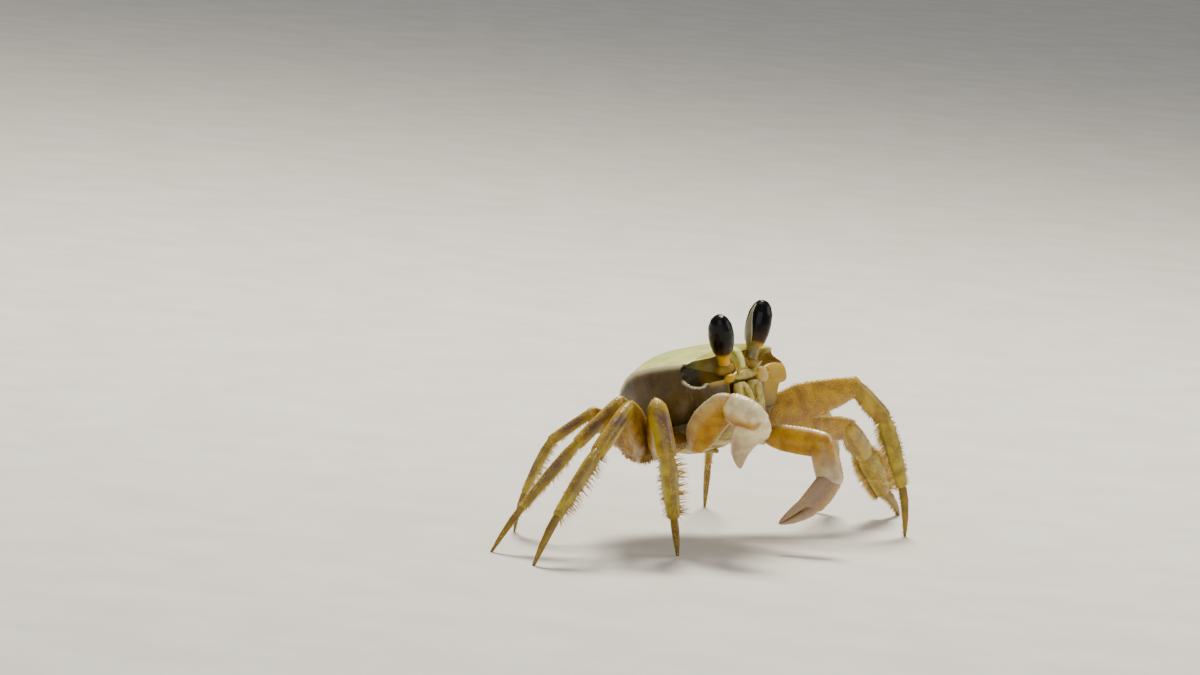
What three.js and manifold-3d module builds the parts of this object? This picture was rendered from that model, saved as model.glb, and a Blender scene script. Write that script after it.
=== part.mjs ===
// Ghost crab, a still life-size model standing on eight legs.
// Millimetres. The crab faces -Y, its left is +X, +Z is up, and the floor is z = 0.
import * as THREE from 'three';
import { mergeVertices } from 'three/addons/utils/BufferGeometryUtils.js';
import Module from 'manifold-3d';

const wasm = await Module();
wasm.setup();
const rad = THREE.MathUtils.degToRad;

// Driving dimensions. The body's own sizes are in carapace widths.
const CARAPACE_WIDTH = 36;
const RIDGE_HEIGHT = 41.5; // the lateral ridge at mid-carapace above the floor
const BODY_PITCH = 19.4; // the front is up
const BODY_ROLL = -5.5; // the left side is up
const ORIGIN_SHIFT = new THREE.Vector3(-9.6, 0.2, 0); // centres the outer box on the origin
const GAP = 0.3; // between neighbouring pieces
const BLOCK = 300; // edge of the blocks that cut pieces off

// Finishes
const finish = (color, roughness) =>
  new THREE.MeshStandardMaterial({ color, roughness, metalness: 0 });
const SHELL = finish('#b9b68c', 0.5);
const BELLY = finish('#cfc59a', 0.55);
const LEG = finish('#c2932f', 0.4);
const CLAW = finish('#ddd0c0', 0.35);
const ARM = finish('#c8943f', 0.45);
const EYE = finish('#140d0a', 0.12);
const STALK = finish('#b6a84a', 0.45);
const MOUTH = finish('#d6cc9c', 0.5);

// The body's outline along its length, in carapace widths: station behind mid-carapace,
// half width, height of the ridge line, rise of the back above it, depth of the belly below 0.
const BODY_STATIONS = [
  [-0.385, 0.13, 0.0, 0.045, 0.4],
  [-0.36, 0.32, 0.0, 0.06, 0.43],
  [-0.325, 0.455, 0.0, 0.075, 0.47],
  [-0.2, 0.482, 0.02, 0.08, 0.53],
  [-0.05, 0.5, 0.035, 0.092, 0.565],
  [0.1, 0.492, 0.035, 0.1, 0.575],
  [0.2, 0.465, 0.01, 0.125, 0.565],
  [0.3, 0.435, -0.05, 0.165, 0.54],
  [0.37, 0.4, -0.1, 0.18, 0.5],
  [0.43, 0.345, -0.17, 0.18, 0.45],
  [0.47, 0.26, -0.23, 0.15, 0.4],
  [0.485, 0.12, -0.27, 0.08, 0.35],
];
// Side wall and belly from the ridge to the midline: share of the half width, share of the depth.
const WALL = [
  [1.06, -0.17],
  [1.09, -0.36],
  [1.04, -0.54],
  [0.89, -0.69],
  [0.6, -0.83],
  [0.36, -0.94],
  [0.15, -0.99],
];
const BACK_STEPS = 6; // facets from the midline to the ridge
const SHELL_EDGE = -0.41; // the carapace's lower margin, where the sternum starts

const SIDES = [[-1, 'right'], [1, 'left']];

const cw = (share) => share * CARAPACE_WIDTH;

// ---- solids ----

function toSolid(geometry) {
  const plain = geometry.clone();
  plain.deleteAttribute('normal');
  plain.deleteAttribute('uv');
  const merged = mergeVertices(plain, 1e-5);
  return new wasm.Manifold(
    new wasm.Mesh({
      numProp: 3,
      vertProperties: Float32Array.from(merged.attributes.position.array),
      triVerts: Uint32Array.from(merged.index.array),
    }),
  );
}

function toGeometry(solid) {
  const { vertProperties, triVerts } = solid.getMesh();
  const geometry = new THREE.BufferGeometry();
  geometry.setAttribute('position', new THREE.BufferAttribute(vertProperties, 3));
  geometry.setIndex(new THREE.BufferAttribute(triVerts, 1));
  return geometry;
}

function mesh(name, geometry, material) {
  const made = new THREE.Mesh(geometry, material);
  made.name = name;
  return made;
}

// A block that fills the side of a plane its normal points to, in the frame of a placed object.
function beyond(point, normal, placed) {
  const block = new THREE.BoxGeometry(BLOCK, BLOCK, BLOCK);
  block.translate(BLOCK / 2, 0, 0);
  const turn = new THREE.Quaternion().setFromUnitVectors(new THREE.Vector3(1, 0, 0), normal);
  block.applyQuaternion(turn);
  block.translate(point.x, point.y, point.z);
  block.applyMatrix4(placed.matrixWorld.clone().invert());
  return toSolid(block);
}

// A limb along +X with an elliptic section at each station: x, half thickness, half height, rise.
function limb(stations, sides) {
  const rings = stations.length - 1;
  const geometry = new THREE.CylinderGeometry(1, 1, 1, sides, rings);
  const p = geometry.attributes.position;
  for (let i = 0; i < p.count; i += 1) {
    const [x, thick, high, rise] = stations[Math.round((0.5 - p.getY(i)) * rings)];
    p.setXYZ(i, x, p.getX(i) * thick, p.getZ(i) * high + rise);
  }
  return geometry;
}

// Bows a limb's stations upward between its joints.
const bowed = (stations, length, bend) =>
  stations.map(([x, t, h, rise]) => [x, t, h,
    rise + bend * Math.sin(Math.PI * Math.min(1, Math.max(0, x / length)))]);

// Scales a shape given in shares of a segment's length, thickness and height.
const scaled = (shape, length, thick, high) =>
  shape.map(([x, t, h, rise = 0]) => [x * length, (t * thick) / 2, (h * high) / 2, rise * high]);

// ---- body ----

const crab = new THREE.Group();
crab.position.copy(ORIGIN_SHIFT);

const body = new THREE.Group();
body.position.set(0, 0, RIDGE_HEIGHT);
body.rotation.set(-rad(BODY_PITCH), rad(BODY_ROLL), 0);
crab.add(body);
crab.updateMatrixWorld(true);

// One ring of the body, from the midline of the back round the left side and up the right.
function bodyRing([, halfWidth, ridge, rise, depth]) {
  const back = [];
  for (let i = 0; i < BACK_STEPS; i += 1) {
    const angle = (i / BACK_STEPS) * (Math.PI / 2);
    back.push([halfWidth * Math.sin(angle), ridge + rise * Math.cos(angle) ** 2]);
  }
  const fall = depth + ridge;
  const side = WALL.map(([out, down]) => [halfWidth * out, ridge + fall * down]);
  const left = [...back, [halfWidth, ridge], ...side];
  const right = left.slice(1).reverse();
  return [...left, [0, -depth], ...right.map(([x, z]) => [-x, z])];
}

function bodyGeometry() {
  const rings = BODY_STATIONS.map(bodyRing);
  const around = rings[0].length;
  const geometry = new THREE.CylinderGeometry(1, 1, 1, around, rings.length - 1);
  const p = geometry.attributes.position;
  for (let i = 0; i < p.count; i += 1) {
    const station = Math.round((p.getY(i) + 0.5) * (rings.length - 1));
    const radius = Math.hypot(p.getX(i), p.getZ(i));
    const turn = Math.atan2(p.getX(i), p.getZ(i)) / (2 * Math.PI);
    const step = Math.round((turn + 1) * around) % around;
    const [x, z] = radius > 0.5 ? rings[station][step] : [0, -0.5 * BODY_STATIONS[station][4]];
    p.setXYZ(i, cw(x), cw(BODY_STATIONS[station][0]), cw(z));
  }
  return geometry;
}

const wholeBody = bodyGeometry();
const bodySolid = toSolid(wholeBody);
const envelope = wholeBody.clone();
envelope.translate(0, 0, cw(0.2));
envelope.scale(1.03, 1.03, 1.03);
envelope.translate(0, 0, -cw(0.2));
envelope.applyMatrix4(body.matrixWorld);

// The body with a clearance round it, in the frame of a placed object.
function clearanceFor(placed) {
  return toSolid(envelope.clone().applyMatrix4(placed.matrixWorld.clone().invert()));
}

// A block as wide as everything, between two heights.
function slab(low, high) {
  const block = new THREE.BoxGeometry(BLOCK, BLOCK, high - low);
  block.translate(0, 0, (low + high) / 2);
  return toSolid(block);
}

function ellipsoid(radii, centre, across = 16, down = 10) {
  const shape = new THREE.SphereGeometry(1, across, down);
  shape.rotateX(Math.PI / 2);
  shape.scale(...radii);
  shape.translate(...centre);
  return shape;
}

const EYE_LENGTH = 14.4;
const EYE_PROFILE = [[0, 0], [1.5, 0.1], [1.45, 1.6], [1.65, 3], [2.25, 5], [2.75, 7.4],
  [2.95, 9.8], [2.75, 11.8], [2.0, 13.4], [1.1, 14.15], [0, EYE_LENGTH]];
const EYE_BASE = [0.13, -0.365, -0.045];
const EYES = {
  right: { lean: 31, splay: 23 }, // forward and outward, in degrees from the body's own upright
  left: { lean: 21, splay: 15 },
};
const SOCKET_DEPTH = 6; // length of the clearance round each eyestalk's foot

// The frame of an eye: its foot in the orbit's inner end, with +Z along the stalk.
function eyeFrame(side, label) {
  const { lean, splay } = EYES[label];
  const eye = new THREE.Group();
  eye.position.set(side * cw(EYE_BASE[0]), cw(EYE_BASE[1]), cw(EYE_BASE[2]));
  eye.rotation.set(rad(lean), rad(side * splay), 0);
  eye.updateMatrix();
  return eye;
}

function eyeSocket(side, label) {
  const radius = EYE_PROFILE[1][0] + GAP;
  const bore = new THREE.CylinderGeometry(radius, radius, SOCKET_DEPTH, 14);
  bore.rotateX(Math.PI / 2);
  bore.translate(0, 0, SOCKET_DEPTH / 2 - GAP);
  bore.applyMatrix4(eyeFrame(side, label).matrix);
  return toSolid(bore);
}

function makeCarapace() {
  let shell = bodySolid.subtract(slab(-BLOCK, cw(SHELL_EDGE) + GAP / 2));
  for (const [side, label] of SIDES) {
    const orbit = ellipsoid([cw(0.18), cw(0.075), cw(0.07)], [side * cw(0.265), -cw(0.375), -cw(0.075)]);
    shell = shell.subtract(toSolid(orbit)).subtract(eyeSocket(side, label));
  }
  const rostrum = ellipsoid([cw(0.036), cw(0.06), cw(0.085)], [0, -cw(0.385), -cw(0.02)], 10, 8);
  shell = shell.add(toSolid(rostrum));
  return mesh('carapace', toGeometry(shell), SHELL);
}

function makeSternum() {
  const plate = bodySolid.subtract(slab(cw(SHELL_EDGE) - GAP / 2, BLOCK));
  return mesh('sternum', toGeometry(plate), BELLY);
}

// The abdomen is folded forward under the sternum.
function makeAbdomen() {
  const HALF_WIDTHS = [3.4, 3.8, 3.1, 2.3, 1.5, 0.7];
  const FRONT = -0.03;
  const REAR = 0.42;
  const HALF_THICKNESS = 0.55;
  const stations = HALF_WIDTHS.map((half, i) => {
    const y = THREE.MathUtils.lerp(REAR, FRONT, i / (HALF_WIDTHS.length - 1));
    const next = BODY_STATIONS.findIndex(([at]) => at > y);
    const [from, , , , depthFrom] = BODY_STATIONS[next - 1];
    const [to, , , , depthTo] = BODY_STATIONS[next];
    const depth = THREE.MathUtils.mapLinear(y, from, to, depthFrom, depthTo);
    return [-cw(y), half, HALF_THICKNESS, -cw(depth) - HALF_THICKNESS - GAP];
  });
  const flap = limb(stations, 10);
  flap.rotateZ(-Math.PI / 2);
  const placed = mesh('abdomen', flap, BELLY);
  body.add(placed);
  placed.updateMatrixWorld(true);
  placed.geometry = toGeometry(toSolid(flap).subtract(clearanceFor(placed)));
  return placed;
}

body.add(makeCarapace(), makeSternum(), makeAbdomen());

// ---- face ----

function trimmedToBody(name, geometry, material) {
  const placed = mesh(name, geometry, material);
  body.add(placed);
  placed.updateMatrixWorld(true);
  placed.geometry = toGeometry(toSolid(geometry).subtract(clearanceFor(placed)));
  return placed;
}

const MAXILLIPED = { halfWidth: 2.25, halfThickness: 2.0, halfHeight: 4.7, y: -13.9, z: -11.2 };

for (const [side, label] of SIDES) {
  const { halfWidth, halfThickness, halfHeight, y, z } = MAXILLIPED;
  const plate = ellipsoid([halfWidth, halfThickness, halfHeight], [side * (halfWidth + GAP / 2), y, z], 12, 8);
  trimmedToBody(`maxilliped_${label}`, plate, MOUTH);
}

// The plate between the eyes and the mouth, with the two short antennae standing on it.
function makeFace() {
  const PLATE = [4.0, 1.5, 1.3];
  const ANTENNA = [[0, 0.5, 0.5, 0], [2, 0.45, 0.45, 0], [3.6, 0.3, 0.3, 0]];
  let face = toSolid(ellipsoid(PLATE, [0, -14.4, -4.9], 12, 8));
  for (const side of [-1, 1]) {
    const antenna = limb(ANTENNA, 6);
    antenna.rotateY(-rad(35));
    antenna.rotateZ(-Math.PI / 2 + side * rad(28));
    antenna.translate(side * 2.6, -14.8, -4.9);
    face = face.add(toSolid(antenna));
  }
  return face;
}

const CORNEA_START = 3.6; // height on the stalk where the cornea begins
const STRIP_HALF_WIDTH = 0.8; // the stalk's bare strip runs up the inner back of the cornea
const STRIP_DEPTH = 1.0; // its inner face's distance from the eye's axis
const STRIP_TURN = 45; // degrees from straight back towards the midline

// A block behind the eye's axis, from its inner face outward.
function stripBlock(side, halfWidth, start) {
  const block = new THREE.BoxGeometry(halfWidth * 2, EYE_LENGTH, EYE_LENGTH * 2);
  block.translate(0, start + EYE_LENGTH / 2, EYE_LENGTH);
  block.rotateZ(rad(side * STRIP_TURN));
  return toSolid(block);
}

function makeEye(side, label) {
  const eye = eyeFrame(side, label);
  body.add(eye);
  const lathe = new THREE.LatheGeometry(EYE_PROFILE.map(([r, y]) => new THREE.Vector2(r, y)), 14);
  lathe.rotateX(Math.PI / 2);
  const whole = toSolid(lathe);
  const above = slab(CORNEA_START - GAP, BLOCK);
  const below = slab(-BLOCK, CORNEA_START);
  const slot = stripBlock(side, STRIP_HALF_WIDTH + GAP, STRIP_DEPTH);
  const strip = stripBlock(side, STRIP_HALF_WIDTH, STRIP_DEPTH + GAP);
  const cornea = whole.subtract(below).subtract(slot);
  const stalk = whole.subtract(above).add(whole.intersect(strip));
  eye.add(mesh(`eye_cornea_${label}`, toGeometry(cornea), EYE));
  eye.add(mesh(`eyestalk_${label}`, toGeometry(stalk), STALK));
}

for (const [side, label] of SIDES) {
  makeEye(side, label);
}
trimmedToBody('face', toGeometry(makeFace()), MOUTH);

// ---- jointed limbs ----

// Shapes of the segments, in shares of their length, thickness and height: x, thickness, height.
const HIP_SHAPE = [[-0.35, 0.6, 0.6], [0, 0.9, 0.95], [0.6, 1, 1], [1.12, 0.8, 0.8]];
const MERUS_SHAPE = [[-0.05, 0.5, 0.4], [0, 0.75, 0.54, 0.02], [0.14, 0.9, 0.84, 0.06],
  [0.36, 1, 1.02, 0.08], [0.65, 0.95, 0.93, 0.06], [0.88, 0.9, 0.68, 0.03], [1, 0.8, 0.52], [1.06, 0.4, 0.26]];
// The left second leg is lifted at its base, and the left third one is turned broadside.
const LIFTED_MERUS_SHAPE = [[-0.05, 0.5, 0.4, 0.1], [0, 0.75, 0.56, 0.15], [0.1, 0.9, 0.86, 0.26],
  [0.26, 1, 1.02, 0.29], [0.45, 1, 1.08, 0.27], [0.65, 0.95, 1, 0.14], [0.86, 0.9, 0.76, 0.05],
  [1, 0.8, 0.52], [1.06, 0.4, 0.26]];
const BROAD_MERUS_SHAPE = [[-0.05, 0.5, 0.4], [0, 0.75, 0.54, 0.02], [0.14, 0.9, 0.84, 0.04],
  [0.36, 1, 1, 0.04], [0.65, 1, 1.02], [0.88, 0.9, 0.92, -0.06], [1, 0.8, 0.76, -0.1], [1.06, 0.4, 0.4, -0.1]];
const CARPUS_SHAPE = [[-0.14, 0.4, 0.35], [0, 0.85, 0.75], [0.35, 1, 0.92], [0.75, 1, 1],
  [1, 0.85, 0.86], [1.08, 0.45, 0.4]];
const PROPODUS_SHAPE = [[-0.06, 0.5, 0.45], [0, 0.85, 0.85], [0.2, 1, 1], [0.5, 0.95, 0.96],
  [0.85, 0.8, 0.76], [1, 0.7, 0.62], [1.04, 0.4, 0.35]];
const DACTYL_SHAPE = [[-0.06, 0.5, 0.5], [0, 0.95, 0.95], [0.3, 0.95, 0.9], [0.65, 0.75, 0.66],
  [1, 0.5, 0.42], [1.2, 0.42, 0.36]];

// Leg sizes from the second to the fifth pair: length, height and thickness of each segment.
const PAIRS = {
  2: { socket: [10.3, -0.3, -16.2], hip: [18.4, 1.7, -18.1],
    merus: [27.7, 8.6, 3.2], carpus: [11.6, 4.6, 3.7], propodus: [18.1, 4.2, 3.1], dactyl: [12.9, 2.3, 2.1] },
  3: { socket: [10.2, 4.6, -16.6], hip: [18.8, 6.5, -18.1],
    merus: [30.5, 8.6, 2.9], carpus: [14.2, 5.4, 3.7], propodus: [19.0, 5.8, 3.1], dactyl: [12.8, 2.9, 2.1] },
  4: { socket: [9.4, 8.8, -16.2], hip: [15.7, 10.7, -17.6],
    merus: [28.6, 8.0, 2.7], carpus: [13.9, 5.0, 3.4], propodus: [20.0, 5.0, 2.9], dactyl: [12.9, 2.6, 2.0] },
  5: { socket: [8.0, 12.0, -14.6], hip: [12.8, 13.8, -15.6],
    merus: [20.7, 6.0, 2.5], carpus: [11.6, 3.8, 3.0], propodus: [14.5, 3.6, 2.5], dactyl: [11.7, 2.2, 1.9] },
};
const HIP_SIZE = { high: 4.4, thick: 2.9 };

// Stance in degrees: heading forward of straight out, lean of the leg's plane, and the rise
// of each segment above level. The dactyl's own rise follows from the floor.
const STANCE = {
  right: {
    2: { heading: 49.4, lean: -14.2, merus: 30.2, carpus: -62.5, propodus: -118.9, tucked: true,
      girth: 1.35 },
    3: { heading: 25.3, lean: 17.1, merus: 28.8, carpus: -42.1, propodus: -49.7, tucked: false },
    4: { heading: 14.6, lean: 23.6, merus: 34.4, carpus: -44.5, propodus: -54, tucked: false },
    5: { heading: -5.6, lean: 24.9, merus: 29.7, carpus: -40.8, propodus: -83.8, tucked: true },
  },
  left: {
    2: { heading: 18.4, lean: -0.9, merus: 24, carpus: -40.8, propodus: -66.5, tucked: false,
      merusShape: LIFTED_MERUS_SHAPE },
    3: { heading: 8.9, lean: -34.1, merus: 3.7, carpus: -41.8, propodus: -44.3, tucked: false,
      merusShape: BROAD_MERUS_SHAPE },
    4: { heading: -0.6, lean: -34.2, merus: 17.5, carpus: -40.5, propodus: -48.2, tucked: true },
    5: { heading: -40, lean: 0, merus: 23.2, carpus: -36.7, propodus: -65.5, tucked: false },
  },
};

// Turns an object so that its +X runs along a direction and its +Z is near an upward one.
function aim(object, along, upward) {
  const x = along.clone().normalize();
  const y = new THREE.Vector3().crossVectors(upward, x).normalize();
  const z = new THREE.Vector3().crossVectors(x, y);
  object.quaternion.setFromRotationMatrix(new THREE.Matrix4().makeBasis(x, y, z));
}

const axisOf = (object) => new THREE.Vector3(1, 0, 0).transformDirection(object.matrixWorld);
const placeOf = (object) => new THREE.Vector3().setFromMatrixPosition(object.matrixWorld);

// Cuts two neighbours along the plane that halves the bend between them.
function mitre(before, after) {
  const joint = placeOf(after.frame);
  const normal = axisOf(before.frame).add(axisOf(after.frame)).normalize();
  const back = normal.clone().negate();
  const outer = joint.clone().addScaledVector(normal, -GAP / 2);
  const inner = joint.clone().addScaledVector(normal, GAP / 2);
  before.solid = before.solid.subtract(beyond(outer, normal, before.frame));
  after.solid = after.solid.subtract(beyond(inner, back, after.frame));
}

function addSegment(parent, name, stations, sides, material) {
  const frame = new THREE.Group();
  parent.add(frame);
  return { frame, name, material, solid: toSolid(limb(stations, sides)) };
}

function finishSegments(segments) {
  for (const { frame, name, material, solid } of segments) {
    frame.add(mesh(name, toGeometry(solid), material));
  }
}

function fromBody(point, side) {
  const [x, y, z] = point;
  return new THREE.Vector3(side * x, y, z).applyMatrix4(body.matrix);
}

const UP = new THREE.Vector3(0, 0, 1);
const FLOOR = new THREE.Vector3(0, 0, 0);

function makeLeg(side, label, pair) {
  const { socket, hip, merus, carpus, propodus, dactyl } = PAIRS[pair];
  const stance = STANCE[label][pair];
  const name = (part) => `leg${pair}_${part}_${label}`;
  const start = fromBody(socket, side);
  const joint = fromBody(hip, side);
  const reach = start.distanceTo(joint);

  const hipPiece = addSegment(crab, name('hip'), scaled(HIP_SHAPE, reach, HIP_SIZE.thick, HIP_SIZE.high), 8, LEG);
  hipPiece.frame.position.copy(start);
  aim(hipPiece.frame, joint.clone().sub(start), UP);

  const plane = new THREE.Group();
  plane.position.copy(joint);
  const turn = side > 0 ? -stance.heading : 180 + stance.heading;
  plane.rotation.set(-rad(stance.lean), 0, rad(turn), 'ZXY');
  crab.add(plane);

  const pieces = [];
  let parent = plane;
  let risen = 0;
  let at = 0;
  const addPiece = (part, [length, high, thick], shape, sides, rise) => {
    const girth = part === 'dactyl' ? 1 : stance.girth ?? 1;
    const piece = addSegment(parent, name(part), scaled(shape, length, thick * girth, high), sides, LEG);
    piece.frame.position.set(at, 0, 0);
    piece.frame.rotation.y = -rad(rise - risen);
    pieces.push(piece);
    parent = piece.frame;
    risen = rise;
    at = length;
  };
  addPiece('merus', merus, stance.merusShape ?? MERUS_SHAPE, 8, stance.merus);
  addPiece('carpus', carpus, CARPUS_SHAPE, 8, stance.carpus);
  addPiece('propodus', propodus, PROPODUS_SHAPE, 8, stance.propodus);

  crab.updateMatrixWorld(true);
  const ankle = new THREE.Vector3(propodus[0], 0, 0).applyMatrix4(parent.matrixWorld);
  const drop = ankle.z / (dactyl[0] * Math.cos(rad(stance.lean)));
  if (drop > 1) throw new Error(`${name('dactyl')} is too short to reach the floor (${drop})`);
  const fall = THREE.MathUtils.radToDeg(Math.asin(drop));
  addPiece('dactyl', dactyl, DACTYL_SHAPE, 6, stance.tucked ? fall - 180 : -fall);

  crab.updateMatrixWorld(true);
  const [merusPiece, carpusPiece, propodusPiece, dactylPiece] = pieces;
  hipPiece.solid = hipPiece.solid.subtract(clearanceFor(hipPiece.frame));
  merusPiece.solid = merusPiece.solid.subtract(clearanceFor(merusPiece.frame));
  mitre(hipPiece, merusPiece);
  mitre(merusPiece, carpusPiece);
  mitre(carpusPiece, propodusPiece);
  mitre(propodusPiece, dactylPiece);
  const down = UP.clone().negate();
  dactylPiece.solid = dactylPiece.solid.subtract(beyond(FLOOR, down, dactylPiece.frame));
  finishSegments([hipPiece, ...pieces]);
}

for (const [side, label] of SIDES) {
  for (const pair of Object.keys(PAIRS)) {
    makeLeg(side, label, pair);
  }
}

// ---- claw arms ----

// Joints of each claw arm in body millimetres, with x outward, and the way each segment's
// height points. The sizes are height and thickness.
const ARMS = {
  right: {
    coxa: { at: [9.7, -3.6, -16.2], size: [5.4, 4.4], up: [0, 0, 1] },
    merus: { at: [12.2, -5.6, -18.9], size: [8.0, 4.4], up: [0.6, 0.5, 0.5], bend: 1.0 },
    carpus: { at: [14.9, -19.9, -11.4], size: [7.6, 6.2], up: [0.1, 0, 1] },
    palm: { at: [13.3, -26.4, -15.7], size: [9.0, 4.8], up: [-0.68, -0.72, -0.12] },
    tip: [8.0, -13.6, -26.4],
  },
  left: {
    coxa: { at: [9.7, -3.5, -16.2], size: [5.0, 4.0], up: [0, 0, 1] },
    merus: { at: [12.5, -5.5, -19.7], size: [6.3, 4.2], up: [0, -0.1, 1] },
    carpus: { at: [17.1, -18.2, -25.0], size: [5.8, 5.0], up: [0.7, -0.7, 0.1] },
    palm: { at: [16.2, -19.0, -33.6], size: [5.4, 4.4], up: [0.3, -0.27, -0.92], bend: 1.3 },
    tip: [2.6, -12.1, -41.1],
  },
};
const ARM_MERUS_SHAPE = [[-0.1, 0.4, 0.35], [0, 0.7, 0.6], [0.25, 0.95, 0.97], [0.6, 1, 1.04],
  [0.85, 1, 1], [1, 0.9, 0.85], [1.1, 0.6, 0.5]];
const ARM_CARPUS_SHAPE = [[-0.25, 0.5, 0.45], [0, 0.85, 0.8], [0.35, 1, 1], [0.75, 0.98, 0.98],
  [1, 0.8, 0.8], [1.2, 0.4, 0.4]];
const PALM_SHAPE = [[-0.15, 0.4, 0.4], [0, 0.75, 0.66], [0.18, 1, 0.92], [0.38, 1, 1],
  [0.6, 0.85, 0.9]];
const FIXED_FINGER_SHAPE = [[0.3, 0.6, 0.5, -0.2], [0.5, 0.72, 0.4, -0.24], [0.65, 0.55, 0.33, -0.25],
  [0.82, 0.4, 0.24, -0.2], [0.98, 0.16, 0.08, -0.1]];
const FINGER_SHAPE = [[0.35, 0.66, 0.5, 0.22], [0.5, 0.62, 0.42, 0.23], [0.66, 0.55, 0.34, 0.22],
  [0.84, 0.4, 0.22, 0.14], [1, 0.16, 0.08, 0.02]];
const KNUCKLE = 0.5; // how far along the claw its fingers start

function makeArm(side, label) {
  const arm = ARMS[label];
  const name = (part) => `claw_${part}_${label}`;
  const order = ['coxa', 'merus', 'carpus', 'palm'];
  const joints = [...order.map((part) => arm[part].at), arm.tip].map((at) => fromBody(at, side));
  const shapes = [HIP_SHAPE, ARM_MERUS_SHAPE, ARM_CARPUS_SHAPE, PALM_SHAPE];
  const materials = [ARM, ARM, CLAW, CLAW];
  const pieces = order.map((part, i) => {
    const along = joints[i + 1].clone().sub(joints[i]);
    const [high, thick] = arm[part].size;
    const bend = arm[part].bend ?? 0;
    const stations = bowed(scaled(shapes[i], along.length(), thick, high), along.length(), bend);
    const piece = addSegment(crab, name(part), stations, 10, materials[i]);
    const [x, y, z] = arm[part].up;
    piece.frame.position.copy(joints[i]);
    aim(piece.frame, along, new THREE.Vector3(side * x, y, z).transformDirection(body.matrix));
    return { ...piece, length: along.length(), high, thick, bend };
  });
  crab.updateMatrixWorld(true);
  const [coxa, merus, carpus, palm] = pieces;
  coxa.solid = coxa.solid.subtract(clearanceFor(coxa.frame));
  merus.solid = merus.solid.subtract(clearanceFor(merus.frame));
  mitre(coxa, merus);
  mitre(merus, carpus);
  mitre(carpus, palm);

  const { frame, length, high, thick, bend } = palm;
  const along = axisOf(frame);
  const knuckle = placeOf(frame).addScaledVector(along, KNUCKLE * length);
  const pollex = toSolid(limb(bowed(scaled(FIXED_FINGER_SHAPE, length, thick, high), length, bend), 8));
  palm.solid = palm.solid.subtract(beyond(knuckle, along, frame)).add(pollex);
  const finger = { ...palm, name: name('finger') };
  const start = knuckle.clone().addScaledVector(along, GAP);
  finger.solid = toSolid(limb(bowed(scaled(FINGER_SHAPE, length, thick, high), length, bend), 8));
  finger.solid = finger.solid.subtract(beyond(start, along.clone().negate(), frame));
  finishSegments([...pieces, finger]);
}

for (const [side, label] of SIDES) {
  makeArm(side, label);
}

export default crab;
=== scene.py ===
"""Ghost crab: shells, eyes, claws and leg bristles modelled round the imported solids."""

import math

import bpy
import numpy as np
from mathutils import Matrix, Vector


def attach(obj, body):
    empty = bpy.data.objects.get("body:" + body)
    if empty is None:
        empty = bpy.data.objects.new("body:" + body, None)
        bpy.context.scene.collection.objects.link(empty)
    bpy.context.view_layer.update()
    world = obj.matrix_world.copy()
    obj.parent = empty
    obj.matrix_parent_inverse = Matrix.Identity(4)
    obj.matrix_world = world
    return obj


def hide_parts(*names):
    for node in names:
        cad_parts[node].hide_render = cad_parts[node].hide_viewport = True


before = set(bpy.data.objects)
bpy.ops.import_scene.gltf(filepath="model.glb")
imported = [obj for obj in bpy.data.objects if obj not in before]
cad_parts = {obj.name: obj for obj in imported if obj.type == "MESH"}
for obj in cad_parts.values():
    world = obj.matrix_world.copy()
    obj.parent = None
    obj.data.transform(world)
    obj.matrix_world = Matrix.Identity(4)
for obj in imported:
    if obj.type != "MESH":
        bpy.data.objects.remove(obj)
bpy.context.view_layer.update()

bl_info = {
    "name": "Ghost Crab",
    "version": (1, 0, 0),
    "blender": (4, 5, 0),
    "location": "View3D > Sidebar > Crab",
    "description": "Models the shells, eyes, claws and bristles of a standing ghost crab",
    "category": "Object",
}

MM = 0.001
TINY = 1e-9  # keeps a length of nothing from being divided by
SIDES = ((-1, "right"), (1, "left"))

# ---- the crab's stance, in millimetres and degrees, as the solids have it ----

CARAPACE_WIDTH = 36.0
ORIGIN_SHIFT = Vector((-9.6, 0.2, 0.0))
RIDGE_HEIGHT = 41.5
BODY_PITCH = 19.4
BODY_ROLL = -5.5

# where a pair of legs starts and its hip ends on the body, and the length, height and thickness of the other
# pieces
PAIRS = {
    2: dict(socket=(10.3, -0.3, -16.2), hip=(18.4, 1.7, -18.1),
            merus=(27.7, 8.6, 3.2), carpus=(11.6, 4.6, 3.7),
            propodus=(18.1, 4.2, 3.1), dactyl=(12.9, 2.3, 2.1)),
    3: dict(socket=(10.2, 4.6, -16.6), hip=(18.8, 6.5, -18.1),
            merus=(30.5, 8.6, 2.9), carpus=(14.2, 5.4, 3.7),
            propodus=(19.0, 5.8, 3.1), dactyl=(12.8, 2.9, 2.1)),
    4: dict(socket=(9.4, 8.8, -16.2), hip=(15.7, 10.7, -17.6),
            merus=(28.6, 8.0, 2.7), carpus=(13.9, 5.0, 3.4),
            propodus=(20.0, 5.0, 2.9), dactyl=(12.9, 2.6, 2.0)),
    5: dict(socket=(8.0, 12.0, -14.6), hip=(12.8, 13.8, -15.6),
            merus=(20.7, 6.0, 2.5), carpus=(11.6, 3.8, 3.0),
            propodus=(14.5, 3.6, 2.5), dactyl=(11.7, 2.2, 1.9)),
}
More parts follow.
